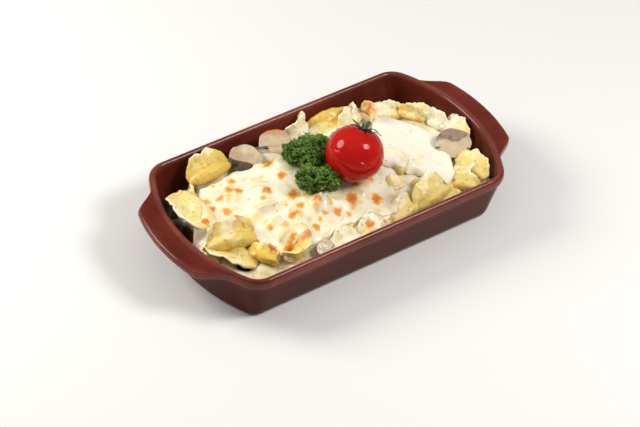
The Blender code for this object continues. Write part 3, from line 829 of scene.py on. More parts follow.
@dataclass
class Dish:
    """The glazed dish with its rolled rim and two tab handles."""

    plan: DishPlan
    wall: float = 4.4 * MM
    foot: float = 3.5 * MM
    handle_thickness: float = 6.0 * MM
    end_steps: int = 34
    corner_steps: int = 16
    side_steps: int = 12

    def section(self) -> list[tuple[float, float, float, float]]:
        """Return the section's main points.

        Returns:
            Rows of inset, height, share of the handle's reach, and 1 on an edge, which is painted paler
            partly as a highlight, to -1 on the outer wall, which is painted darker as shade.
        """
        plan = self.plan
        under = plan.rim_height - 1.2 * MM - self.handle_thickness
        wall_top = under - 2.6 * MM
        outer_top = float(plan.wall_inset(wall_top)) - self.wall
        outer_low = outer_top + plan.draft * (wall_top - self.foot)
        main = [
            (outer_low + 1.6 * self.foot, 0.9 * MM, 0.0, -1.0),
            (outer_low + 1.25 * self.foot, 0.0, 0.0, -1.0),
            (outer_low + 0.85 * self.foot, 0.0, 0.0, -1.0),
            (outer_low + 0.30 * self.foot, 0.25 * self.foot, 0.0, -1.0),
            (outer_low + 0.05 * self.foot, 0.75 * self.foot, 0.0, -1.0),
            (outer_low - 0.6 * MM, self.foot + 3.0 * MM, 0.0, -1.0),
            (0.5 * (outer_low + outer_top), 0.5 * (self.foot + wall_top), 0.0, -1.0),
            (outer_top + 0.5 * MM, wall_top - 3.0 * MM, 0.0, -1.0),
            (outer_top, wall_top, 0.02, 0.0),
            (0.75 * outer_top, under - 0.7 * MM, 0.15, 0.0),
            (1.6 * MM, under - 0.1 * MM, 0.72, 0.0),
            (0.9 * MM, under, 0.90, 0.2),
            (0.15 * MM, under + 0.8 * MM, 0.985, 0.8),
            (0.0, under + 2.0 * MM, 1.0, 1.0),
            (0.0, plan.rim_height - 3.4 * MM, 1.0, 1.0),
            (0.12 * MM, plan.rim_height - 2.2 * MM, 0.985, 1.0),
            (0.45 * MM, plan.rim_height - 1.35 * MM, 0.95, 0.8),
            (0.75 * MM, plan.rim_height - 1.12 * MM, 0.84, 0.1),
            (0.75 * MM, plan.rim_height - 1.15 * MM, 0.50, 0.0),
            (0.70 * MM, plan.rim_height - 1.15 * MM, 0.16, 0.0),
            (0.75 * MM, plan.rim_height - 1.0 * MM, 0.05, 0.1),
            (1.25 * MM, plan.rim_height - 0.45 * MM, 0.0, 0.7),
            (2.0 * MM, plan.rim_height - 0.06 * MM, 0.0, 1.0),
            (2.7 * MM, plan.rim_height, 0.0, 1.0),
            (3.5 * MM, plan.rim_height - 0.25 * MM, 0.0, 0.9),
            (4.3 * MM, plan.rim_height - 0.95 * MM, 0.0, 0.6),
            (4.85 * MM, plan.rim_height - 2.1 * MM, 0.0, 0.2),
        ]
        for height in (35.0, 33.0, 27.0, 20.0, 14.0, 10.5, 8.6, 7.2, 6.2, 5.4, 5.0):
            main.append((float(plan.wall_inset(height * MM)), height * MM, 0.0, 0.0))
        return main

    def ring(self, row: tuple[float, float, float, float, float]) -> np.ndarray:
        """Draw one level line of the dish.

        Args:
            row: a row of the section, and how far the line is narrowed towards the long axis.

        Returns:
            Rows of x, y and z, all the way round.
        """
        inset, height, tab, _, narrow = row
        flat = self.plan.outline(inset, self.end_steps, self.corner_steps, self.side_steps)
        shift = np.sign(np.round(flat[:, 0], 6)) * self.plan.reach(flat[:, 1]) * tab
        x = (flat[:, 0] + shift) * (0.93 + 0.07 * narrow)
        return np.column_stack((x, flat[:, 1] * narrow, np.full(len(flat), height)))

    def build(self, material: bpy.types.Material) -> bpy.types.Object:
        """Build the dish and put it in the place of its node.

        Args:
            material: its finish.

        Returns:
            The finished dish.
        """
        main = [(*row, 1.0) for row in self.section()]
        low, high = main[0], main[-1]
        closing = (0.0, 0.25, 0.5, 0.75, 0.93)
        rows = [(low[0], low[1], 0.0, 0.0, narrow) for narrow in closing] + main
        rows += [(high[0], high[1], 0.0, 0.0, narrow) for narrow in closing[::-1]]
        rings = np.array([self.ring(row) for row in rows])
        count = rings.shape[1]

        def wrap(u: np.ndarray, v: np.ndarray) -> np.ndarray:
            """Return the point of the rings at each pair of shares."""
            return rings[np.rint(v * (len(rows) - 1)).astype(int), np.rint(u * count).astype(int) % count]

        obj = shaped_grid("glazed_dish", count, len(rows) - 1, wrap)
        store(obj, "edge", np.repeat([row[3] for row in rows], count + 1))
        close_seams(obj, 0.001 * MM)
        subdivide(obj)
        settle(obj, material)
        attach(obj, "root")
        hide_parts("dish")
        return obj


# The photograph's camera


@dataclass(frozen=True)
class PhotoView:
    """The photograph's camera, worked out from the dish's rim and handles."""

    location: Vector = field(default_factory=lambda: Vector((-0.78924, -0.96777, 1.1682)))
    right: Vector = field(default_factory=lambda: Vector((0.81545, -0.57422, 0.07289)))
    up: Vector = field(default_factory=lambda: Vector((0.35105, 0.59074, 0.72649)))
    forward: Vector = field(default_factory=lambda: Vector((0.46023, 0.56682, -0.6833)))
    lens: float = 144.894
    sensor: float = 36.0
    width: int = 640
    height: int = 427

    def make(self) -> bpy.types.Object:
        """Add the camera and make it the scene's own.

        Returns:
            The camera.
        """
        data = bpy.data.cameras.new("photo_view")
        data.lens = self.lens
        data.sensor_width = self.sensor
        data.sensor_fit = "HORIZONTAL"
        data.clip_end = 20.0
        camera = bpy.data.objects.new("photo_view", data)
        axes = Matrix((self.right, self.up, -self.forward)).transposed().to_4x4()
        camera.matrix_world = Matrix.Translation(self.location) @ axes
        bpy.context.scene.collection.objects.link(camera)
        bpy.context.scene.camera = camera
        return camera

    def ray(self, column: float, row: float) -> Vector:
        """Find where a pixel of the photograph looks.

        Args:
            column: the pixel's column.
            row: its row, from the top.

        Returns:
            The direction, of length 1.
        """
        focal = self.lens / self.sensor * self.width
        across = (column - self.width / 2) / focal
        down = (row - self.height / 2) / focal
        return (self.forward + self.right * across - self.up * down).normalized()

    def on_level(self, column: float, row: float, height: float) -> Vector:
        """Return the point at a height that a pixel shows."""
        way = self.ray(column, row)
        return self.location + way * ((height - self.location.z) / way.z)


# The food's surface


class Food:
    """Heights of the bed of pasta and sauce, without the pieces that stand out of it."""

    EDGE_LEVEL = 25.0 * MM
    CROWN = 11.5 * MM
    LUMP_SPACING = 19.0 * MM
    LUMP_RADIUS = 8.5 * MM
    LUMP_HEIGHT = 4.0 * MM
    # Each hollow's x, y, radius and depth, in millimetres
    HOLLOWS = (
        (-92.0, 50.0, 18.0, 20.0),
        (-107.0, -4.0, 9.0, 15.0),
        (-104.0, 14.0, 8.0, 12.0),
        (108.0, -20.0, 9.0, 14.0),
        (-86.0, -31.0, 6.0, 10.0),
        (88.0, 53.0, 20.0, 9.0),
    )

    def __init__(self, plan: DishPlan, tomato: "Tomato", mushrooms: list["Mushroom"]) -> None:
        """Keep what shapes the bed and place its lumps.

        Args:
            plan: the dish's measures.
            tomato: the tomato that presses into it.
            mushrooms: the mushrooms that lie in it.
        """
        self.plan = plan
        self.tomato = tomato
        self.mushrooms = mushrooms
        self.lumps = [self.lump(i, j) for i in range(-9, 10) for j in range(-6, 7)]

    def lump(self, i: int, j: int) -> tuple[float, float, float]:
        """Place one lump of a loose net.

        Args:
            i: its number along the dish.
            j: its number across it.

        Returns:
            Its x, y and height.
        """
        jitter = noise.noise_vector(Vector((i * 1.7, j * 2.3, 4.1)))
        x = (i + 0.5 * (j % 2) + 0.45 * jitter.x) * self.LUMP_SPACING
        y = (j + 0.45 * jitter.y) * self.LUMP_SPACING
        return x, y, self.LUMP_HEIGHT * (0.8 + 0.6 * jitter.z)

    def height(self, x: np.ndarray, y: np.ndarray, whole: bool = False) -> np.ndarray:
        """Return the bed's height at each place in plan.

        Args:
            x: places along the dish.
            y: places across it.
            whole: leaves out the hollows and the mushrooms' seats.

        Returns:
            The height at each place.
        """
        x, y = np.atleast_1d(x).astype(float), np.atleast_1d(y).astype(float)
        plan = self.plan
        long_share = (np.abs(x) / (plan.half_length - 6.0 * MM)) ** 3
        wide_share = (np.abs(y) / (plan.half_width - 6.0 * MM)) ** 3
        bed = self.EDGE_LEVEL + self.CROWN * (1.0 - ease((long_share + wide_share) ** (1.0 / 3.0)))
        lumps = np.zeros(len(x))
        for a, b, top in self.lumps:
            lumps += top * np.exp(-((x - a) ** 2 + (y - b) ** 2) / self.LUMP_RADIUS**2)
        edge = np.maximum(np.abs(x) / plan.half_length, np.abs(y) / plan.half_width)
        bed = bed + lumps * (1.0 - ease((edge - 0.72) / 0.16))
        for a, b, radius, depth in () if whole else self.HOLLOWS:
            bed = bed - depth * MM * np.exp(-((x / MM - a) ** 2 + (y / MM - b) ** 2) / radius**2)
        for mushroom in () if whole else self.mushrooms:
            away = np.hypot(x / MM - mushroom.x, y / MM - mushroom.y)
            seat = (mushroom.z - 0.80 * mushroom.radius) + 1.1 * np.maximum(0.0, away - mushroom.radius)
            bed = np.where(away < mushroom.radius + 6.0, np.minimum(bed, seat * MM), bed)
        under = self.tomato.underside(x, y) - 3.2 * MM
        return np.maximum(np.minimum(bed, under), plan.floor + 3.0 * MM)


@dataclass
class SauceBed:
    """The lumpy bed of cream sauce and broken pasta that fills the dish under the pieces."""

    plan: DishPlan
    food: Food
    gap: float = 0.6 * MM
    wall_level: float = 24.0 * MM
    underside: float = 6.0 * MM
    shaded_below: float = 22.5 * MM
    shaded_depth: float = 4.0 * MM
    columns: int = 150
    rows: int = 84

    def shape(self, u: np.ndarray, v: np.ndarray) -> np.ndarray:
        """Shape the bed's top.

        Args:
            u: shares from 0 to 1 along the grid's first direction.
            v: shares along its second.

        Returns:
            Rows of x, y and z.
        """
        inset = float(self.plan.wall_inset(self.wall_level)) + self.gap
        y = (self.plan.half_width - inset) * np.sin(math.pi * (v - 0.5))
        x = self.plan.half_length_at(y, inset) * np.sin(math.pi * (u - 0.5))
        z = self.food.height(x, y)
        rough = np.array([noise.noise(Vector((a * 170.0, b * 170.0, 0.3))) for a, b in zip(x, y)])
        return np.column_stack((x, y, z - 1.2 * MM + 0.9 * MM * rough))

    def build(self, material: bpy.types.Material) -> bpy.types.Object:
        """Build the bed with its sides and underside.

        Args:
            material: its finish.

        Returns:
            The finished bed.
        """
        obj = shaped_grid("sauce_bed", self.columns, self.rows, self.shape)
        choose(obj)
        bpy.ops.object.mode_set(mode="EDIT")
        bpy.ops.mesh.select_all(action="SELECT")
        bpy.ops.mesh.remove_doubles(threshold=0.05 * MM)
        bpy.ops.mesh.select_all(action="DESELECT")
        bpy.ops.mesh.select_mode(type="EDGE")
        bpy.ops.mesh.select_non_manifold()
        bpy.ops.mesh.extrude_edges_move()
        bpy.ops.transform.resize(value=(0.985, 0.975, 1.0))
        bpy.ops.object.mode_set(mode="OBJECT")
        points = places(obj)
        chosen = np.array([vert.select for vert in obj.data.vertices])
        points[chosen, 2] = self.plan.floor + self.underside
        set_places(obj, points)
        bpy.ops.object.mode_set(mode="EDIT")
        bpy.ops.mesh.edge_face_add()
        bpy.ops.mesh.select_all(action="SELECT")
        bpy.ops.mesh.normals_make_consistent(inside=False)
        bpy.ops.object.mode_set(mode="OBJECT")
        store(obj, "depth", (self.shaded_below - places(obj)[:, 2]) / self.shaded_depth)
        settle(obj, material)
        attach(obj, "root")
        return obj


@dataclass(frozen=True)
class Tortellino:
    """One filled half moon of dough, in millimetres and degrees.

    Its thin edge stands up from the filled fold, leans over by lean, and its two ends are bent
    together by curl, in radians.
    """

    x: float
    y: float
    lift: float
    heading: float
    lean: float
    roll: float
    half: float
    curl: float
    tone: float = 0.5
    toast: float = 0.0
    flop: float = 0.0
    cream: float = 0.3
    columns: int = 36
    rows: int = 44
    dough: float = 1.7
    wrinkle: float = 0.75

    def shape(self, phase: float) -> Callable[[np.ndarray, np.ndarray], np.ndarray]:
        """Return the function that bends a grid into this piece, before it is placed.

        Args:
            phase: shifts its waves, so that no two pieces are alike.

        Returns:
            A function of two directions' shares from 0 to 1.
        """
        half = self.half

        def bend(u: np.ndarray, v: np.ndarray) -> np.ndarray:
            """Return the folded dough at each pair of shares."""
            along = 0.985 * np.sin(math.pi * (v - 0.5))
            end = np.clip((np.abs(2.0 * v - 1.0) - 0.93) / 0.07, 0.0, 1.0)
            cap = np.sqrt(1.0 - end**2)
            width = np.sqrt(1.0 - along**2)
            belly = 0.30 * half * (0.30 + 0.70 * width) * cap
            scallop = 0.05 * np.cos(9.0 * along + phase) + 0.022 * np.sin(23.0 * along + 2.0 * phase)
            fin = 0.95 * half * width**0.8 * (1.0 + scallop)
            fin = np.maximum(fin, 0.345 * half * (0.30 + 0.70 * width)) * cap
            down = 1.0 - np.abs(2.0 * u - 1.0)
            h = fin - (fin + 0.8 * belly) * (0.5 - 0.5 * np.cos(math.pi * down))
            slim = 0.5 * self.dough * cap
            tip = np.clip((h - (fin - slim)) / np.maximum(slim, 1e-6), 0.0, 1.0)
            leaf = slim * np.sqrt(1.0 - tip**2) * np.clip(1.0 + h / np.maximum(0.5 * belly, 1e-6), 0.0, 1.0)
            depth = np.where(h > 0.0, belly, 0.8 * belly)
            bulge = belly * np.sqrt(np.clip(1.0 - (h / np.maximum(depth, 1e-6)) ** 2, 0.0, 1.0))
            bulge = bulge * (1.0 + 0.07 * np.sin(6.0 * along + 1.7 * phase))
            n = (leaf**3 + bulge**3) ** (1.0 / 3.0) * np.where(u < 0.5, 1.0, -1.0)
            rise = np.clip(h, 0.0, None) / (0.95 * half)
            wave = 0.05 * np.sin(5.5 * along + phase) + 0.022 * np.sin(12.0 * along + 2.3 * phase)
            out = n + 0.22 * h + half * (wave * rise**2 + self.flop * rise**3)
            dip = self.flop * 0.35 * half * rise**4
            radius = half / max(self.curl, 0.05)
            angle = along * half / radius
            return np.column_stack((
                (radius + out) * np.sin(angle),
                radius - (radius + out) * np.cos(angle),
                h - dip,
            )) * MM

        return bend

    def build(self, food: Food, phase: float) -> bpy.types.Object:
        """Build the piece in its place and keep its tone and browning for its finish.

        Args:
            food: the bed that it lies on.
            phase: shifts its waves.

        Returns:
            The placed piece.
        """
        obj = shaped_grid("tortellino", self.columns, self.rows, self.shape(phase))
        points = places(obj)
        rise = np.clip(points[:, 2] / (0.9 * self.half * MM), 0.0, 1.0)
        level = float(food.height(self.x * MM, self.y * MM)[0])
        place = np.array((self.x * MM, self.y * MM, level + self.lift * MM))
        points = points @ turned(self.heading, self.lean, self.roll).T + place
        points = points + self.wrinkle * MM * (wrinkles(points, 210.0) + 0.4 * wrinkles(points, 520.0))
        set_places(obj, food.plan.pushed_inside(points, 0.7 * MM))
        store(obj, "rise", rise)
        store(obj, "tone", self.tone)
        store(obj, "cream", self.cream)
        store(obj, "toast", self.toast * ease((rise - 0.35) / 0.6))
        close_seams(obj)
        return obj


class Pasta:
    """All the tortellini: those that show one by one, and the fill between and under them."""

    # x, y, lift, heading, lean, roll, half, curl, tone, toast, flop and cream of each
    SHOWN = (
        Tortellino(-90.0, 16.0, 5.0, 92.0, 78.0, 0.0, 21.5, 0.2, 0.40, 0.0, 0.0, 0.1),
        Tortellino(-83.0, 33.0, 3.0, 30.0, 30.0, 0.0, 10.0, 2.0, 0.65, 0.0, 0.0, 0.1),
        Tortellino(-62.0, 44.0, 4.0, 5.0, 58.0, 0.0, 17.0, 0.45, 0.90, 0.0, 0.0, -0.6),
        Tortellino(11.0, 45.0, 3.0, 25.0, 22.0, 0.0, 13.5, 1.5, 0.15, 0.25, 0.0, 0.6),
        Tortellino(37.0, 50.0, 6.0, 175.0, 100.0, 0.0, 17.5, 0.5, 0.95, 0.0, 0.0, -0.4),
        Tortellino(55.0, 42.0, 2.0, 60.0, 30.0, 10.0, 10.0, 1.8, 0.15, 0.0, 0.0, 0.6),
        Tortellino(61.5, 36.0, 6.0, 85.0, 8.0, 0.0, 9.0, 0.8, 0.30, 0.60, 0.0, 0.2),
        Tortellino(76.0, 34.0, 0.0, -25.0, 50.0, 0.0, 11.5, 0.8, 0.40, 0.1, 0.0, 0.4),
        Tortellino(86.0, 24.0, 1.0, -60.0, 25.0, 0.0, 10.0, 0.6, 0.70, 0.0, 0.0, 0.1),
        Tortellino(97.0, 12.0, 0.5, -80.0, 40.0, 0.0, 11.0, 1.0, 0.10, 0.0, 0.0, 0.9),
        Tortellino(101.0, -2.0, 3.0, -95.0, 60.0, 0.0, 13.0, 0.5, 0.45, 0.0, 0.0, 0.2),
        Tortellino(95.0, -46.0, 4.0, -80.0, 62.0, 0.0, 13.5, 0.4, 0.50, 0.0, 0.0, 0.0),
        Tortellino(76.0, -51.0, 2.0, -45.0, 62.0, 0.0, 10.5, 0.8, 0.60, 0.0, 0.0, 0.0),
        Tortellino(52.0, -50.0, 4.0, 12.0, 64.0, 0.0, 16.5, 0.6, 0.60, 0.1, 0.0, 0.0),
        Tortellino(30.0, -51.0, 1.0, 15.0, 66.0, 0.0, 14.0, 0.8, 0.45, 0.1, 0.0, 0.2),
        Tortellino(-54.0, -45.0, 4.0, 60.0, 14.0, 0.0, 14.0, 2.5, 0.75, 0.1, 0.55, 0.0),
        Tortellino(-87.0, -20.5, 6.0, -14.0, 58.0, 0.0, 17.5, 0.6, 0.80, 0.1, 0.0, 0.0),
        Tortellino(-78.0, -38.5, 2.5, -55.0, 68.0, 0.0, 11.0, 0.5, 1.00, 0.0, 0.0, -0.8),
        Tortellino(-100.0, -33.0, 1.0, 115.0, 78.0, 0.0, 19.0, 0.3, 0.50, 0.0, 0.0, 0.1),
        Tortellino(-62.0, -54.0, -3.0, 180.0, 75.0, 0.0, 13.0, 0.3, 0.50, 0.0, 0.0, 0.5),
        Tortellino(4.0, -52.0, 1.0, 10.0, 68.0, 0.0, 13.0, 0.7, 0.40, 0.0, 0.0, 0.4),
        Tortellino(-20.0, -53.0, 0.0, 5.0, 70.0, 0.0, 12.0, 0.6, 0.40, 0.0, 0.0, 0.6),
        Tortellino(21.0, 43.0, 2.0, 190.0, 76.0, 0.0, 15.0, 0.5, 0.35, 0.0, 0.0, 0.2),
        Tortellino(62.0, -54.0, 0.0, 20.0, 70.0, 0.0, 12.0, 0.6, 0.45, 0.0, 0.0, 0.3),
        Tortellino(-101.0, -5.0, 3.0, 85.0, 55.0, 0.0, 8.0, 0.5, 0.30, 0.0, 0.0, 0.8),
        Tortellino(46.0, 36.0, 2.0, 30.0, 55.0, 0.0, 12.0, 0.8, 0.20, 0.0, 0.0, 0.8),
        Tortellino(96.0, 27.0, -2.0, -45.0, 60.0, 0.0, 10.0, 0.5, 0.40, 0.0, 0.0, 0.4),
        Tortellino(82.0, -34.0, 0.0, -140.0, 75.0, 0.0, 12.0, 0.6, 0.60, 0.0, 0.0, 0.2),
        Tortellino(-101.0, -16.0, -1.0, 85.0, 62.0, 0.0, 12.0, 0.5, 0.40, 0.0, 0.0, 0.4),
    )
    FILL_SPACING = 16.5
    FILL_SINK = -2.2
    FILL_MARGIN = 16.0 * MM
    FILL_HALF_WIDTH = 46.0
    TOMATO_ROOM = 17.0
    HOLLOW_ROOM = 4.0
    DEEP_HOLLOW = 9.0
    MUSHROOM_ROOM = 5.0
    LEAST_ROOM = 3.0
    SMOOTH_PATCH = (66.0, 9.0, 20.0)

    def __init__(self, food: Food) -> None:
        """Keep the bed that the pieces lie on."""
        self.food = food

    def is_free(self, x: float, y: float) -> bool:
        """Tell whether a fill piece may lie at a place in plan.

        Args:
            x: the place along the dish, in millimetres.
            y: the place across it, in millimetres.

        Returns:
            True where the dish has room and nothing that shows lies near.
        """
        limit = float(self.food.plan.half_length_at(np.array(y * MM), self.FILL_MARGIN)) / MM
        if abs(x) > limit or abs(y) > self.FILL_HALF_WIDTH:
            return False
        circles = [self.SMOOTH_PATCH, (self.food.tomato.x, self.food.tomato.y, self.TOMATO_ROOM)]
        deep_hollows = [hollow for hollow in self.food.HOLLOWS if hollow[3] > self.DEEP_HOLLOW]
        circles += [(a, b, radius + self.HOLLOW_ROOM) for a, b, radius, _ in deep_hollows]
        if any(math.hypot(x - a, y - b) < radius for a, b, radius in circles):
            return False
        taken = [(piece.x, piece.y, 0.45 * piece.half) for piece in self.SHOWN]
        taken += [(piece.x, piece.y, piece.radius + self.MUSHROOM_ROOM) for piece in self.food.mushrooms]
        return min(math.hypot(x - a, y - b) - radius for a, b, radius in taken) >= self.LEAST_ROOM

    def fill_pieces(self) -> list[Tortellino]:
        """Spread smaller pieces over the bed where none of the shown ones lies.

        Returns:
            The pieces, in the order of their places.
        """
        chance = random.Random(11)
        found = []
        for j in range(-4, 5):
            for i in range(-8, 9):
                x = (i + 0.5 * (j % 2)) * self.FILL_SPACING + chance.uniform(-3.0, 3.0)
                y = j * self.FILL_SPACING * 0.85 + chance.uniform(-2.5, 2.5)
                heading = chance.uniform(0.0, 360.0)
                lean = chance.uniform(55.0, 85.0)
                half = chance.uniform(9.0, 12.0)
                curl = chance.uniform(0.3, 1.5)
                tone = chance.uniform(0.45, 0.85)
                cream = chance.uniform(-0.2, 0.4)
                if self.is_free(x, y):
                    found.append(Tortellino(
                        x, y, self.FILL_SINK, heading, lean, 0.0, half, curl, tone,
                        cream=cream, columns=24, rows=28,
                    ))
        return found

    def build(self, material: bpy.types.Material) -> list[bpy.types.Object]:
        """Build the shown pieces and the fill, each joined into one object.

        Args:
            material: its finish.

        Returns:
            The two objects.
        """
        pieces = [piece.build(self.food, 1.9 * index) for index, piece in enumerate(self.SHOWN)]
        shown = join(pieces, "tortellini")
        pieces = [piece.build(self.food, 0.7 + 2.3 * index) for index, piece in enumerate(self.fill_pieces())]
        fill = join(pieces, "tortellini_fill")
        for obj in (shown, fill):
            settle(obj, material)
            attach(obj, "root")
        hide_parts("pasta_heap")
        return [shown, fill]


class Terrain:
    """The height of whatever lies uppermost, found by looking straight down."""

    ABOVE_ALL = 0.2

    def __init__(self, objects: list[bpy.types.Object]) -> None:
        """Keep a search tree for each object."""
        self.trees = [tree_of(obj) for obj in objects]

    def heights(self, x: np.ndarray, y: np.ndarray) -> np.ndarray:
        """Look straight down at each place.

        Args:
            x: places along the dish.
            y: places across it.

        Returns:
            The uppermost height at each, or 0.
        """
        result = np.zeros(len(x))
        for index in range(len(x)):
            start = Vector((x[index], y[index], self.ABOVE_ALL))
            for tree in self.trees:
                hit = tree.ray_cast(start, -UP)[0]
                if hit is not None and hit.z > result[index]:
                    result[index] = hit.z
        return result

    def first_hit(self, origin: Vector, way: Vector) -> Vector | None:
        """Follow a ray.

        Args:
            origin: where it starts.
            way: its direction.

        Returns:
            The first point that it meets, or None.
        """
        hits = [tree.ray_cast(origin, way) for tree in self.trees]
        hits = [hit for hit in hits if hit[0] is not None]
        return min(hits, key=lambda hit: hit[3])[0] if hits else None


# Each browned mark's column and row in the photograph, size in millimetres and strength
BROWNED_MARKS = (
    (231.4, 181.2, 4.9, 0.8), (212.5, 186.1, 3.2, 0.6), (220.6, 184.8, 2.8, 0.4), (228.7, 189.4, 5.6, 0.8),
    (238.5, 190.2, 5.0, 1.0), (220.0, 198.6, 5.0, 0.6), (229.3, 195.3, 4.0, 0.4), (205.4, 202.2, 6.4, 0.6),
    (211.2, 209.1, 5.6, 1.0), (226.5, 211.6, 5.4, 0.8), (205.4, 221.9, 4.8, 1.0), (236.8, 217.0, 4.0, 0.6),
    (252.6, 229.5, 3.4, 0.6), (267.7, 189.4, 5.0, 1.0), (263.4, 198.0, 4.2, 0.6), (269.9, 163.9, 7.0, 0.9),
    (260.7, 177.5, 3.8, 0.4), (269.9, 226.8, 4.0, 0.7), (272.6, 247.4, 5.0, 1.0), (258.5, 216.4, 6.0, 0.3),
    (281.4, 175.7, 4.6, 1.0), (293.4, 194.7, 6.2, 1.0), (305.3, 194.1, 3.6, 0.5), (317.2, 196.8, 5.0, 0.9),
    (315.6, 202.8, 3.8, 0.7), (300.4, 205.5, 4.6, 0.8), (293.9, 214.2, 6.0, 1.0), (324.8, 212.5, 3.8, 0.7),
    (337.8, 210.9, 5.4, 0.9), (320.0, 219.1, 3.0, 0.7), (351.9, 198.5, 7.2, 1.0), (376.3, 199.0, 6.8, 1.0),
    (329.7, 185.4, 3.8, 1.0), (355.2, 184.4, 4.4, 0.9), (370.4, 178.9, 5.2, 0.7), (353.0, 207.7, 2.8, 0.5),
    (349.2, 214.2, 3.6, 0.7), (285.8, 224.5, 6.4, 0.5), (303.7, 223.4, 3.0, 0.6), (316.2, 226.9, 4.4, 0.8),
    (307.5, 234.2, 6.8, 1.0), (292.8, 237.0, 3.8, 0.8), (289.0, 250.0, 5.6, 1.0), (370.4, 224.5, 5.8, 1.1),
    (384.5, 220.1, 4.0, 0.7), (384.9, 168.4, 4.6, 1.1), (366.7, 112.5, 5.0, 1.0), (400.2, 187.6, 4.6, 0.5),
    (445.1, 150.3, 3.6, 0.35), (407.4, 121.6, 4.0, 0.3), (167.5, 193.7, 3.2, 0.7), (244.0, 226.5, 3.0, 0.5),
    (240.5, 152.5, 5.0, 0.35), (283.0, 133.0, 4.4, 0.6), (199.0, 208.0, 3.0, 0.3), (248.0, 200.0, 2.4, 0.3),
    (331.0, 203.5, 2.6, 0.4), (342.5, 190.0, 2.4, 0.4), (286.0, 205.0, 2.6, 0.5), (277.0, 211.0, 2.2, 0.4),
)


class Toasting:
    """Browned spots that lie where the photograph shows them."""

    def __init__(self, view: PhotoView, terrain: Terrain) -> None:
        """Lay each mark on what its pixel shows.

        Args:
            view: the photograph's camera.
            terrain: what the camera sees.
        """
        self.spots = []
        for column, row, size, strength in BROWNED_MARKS:
            hit = terrain.first_hit(view.location, view.ray(column, row))
            if hit is not None:
                self.spots.append((hit, 0.5 * size * MM, strength))

    def paint(self, obj: bpy.types.Object, share: float = 1.0) -> None:
        """Add the marks to the object's browning.

        Args:
            obj: the piece, whose points keep their browning under "toast".
            share: how strongly this piece takes the marks.
        """
        points = places(obj)
        toast = np.zeros(len(points), np.float32)
        attribute = obj.data.attributes.get("toast")
        if attribute:
            attribute.data.foreach_get("value", toast)
        toast = toast.astype(float)
        for centre, radius, strength in self.spots:
            offset = points - np.array(centre)
            near = np.nonzero(np.hypot(offset[:, 0], offset[:, 1]) < 2.4 * radius)[0]
            for index in near:
                place = Vector(points[index])
                warp = 1.0 + 0.55 * noise.noise(place * 420.0) + 0.35 * noise.noise(place * 950.0)
                away = math.hypot(offset[index, 0], offset[index, 1]) / (radius * warp)
                level = abs(offset[index, 2]) / (4.0 * radius)
                fade = float(ease((1.9 - away) / 1.7)) * float(ease(2.0 - 1.2 * level))
                toast[index] = max(toast[index], 1.15 * strength * share * fade)
        store(obj, "toast", toast)


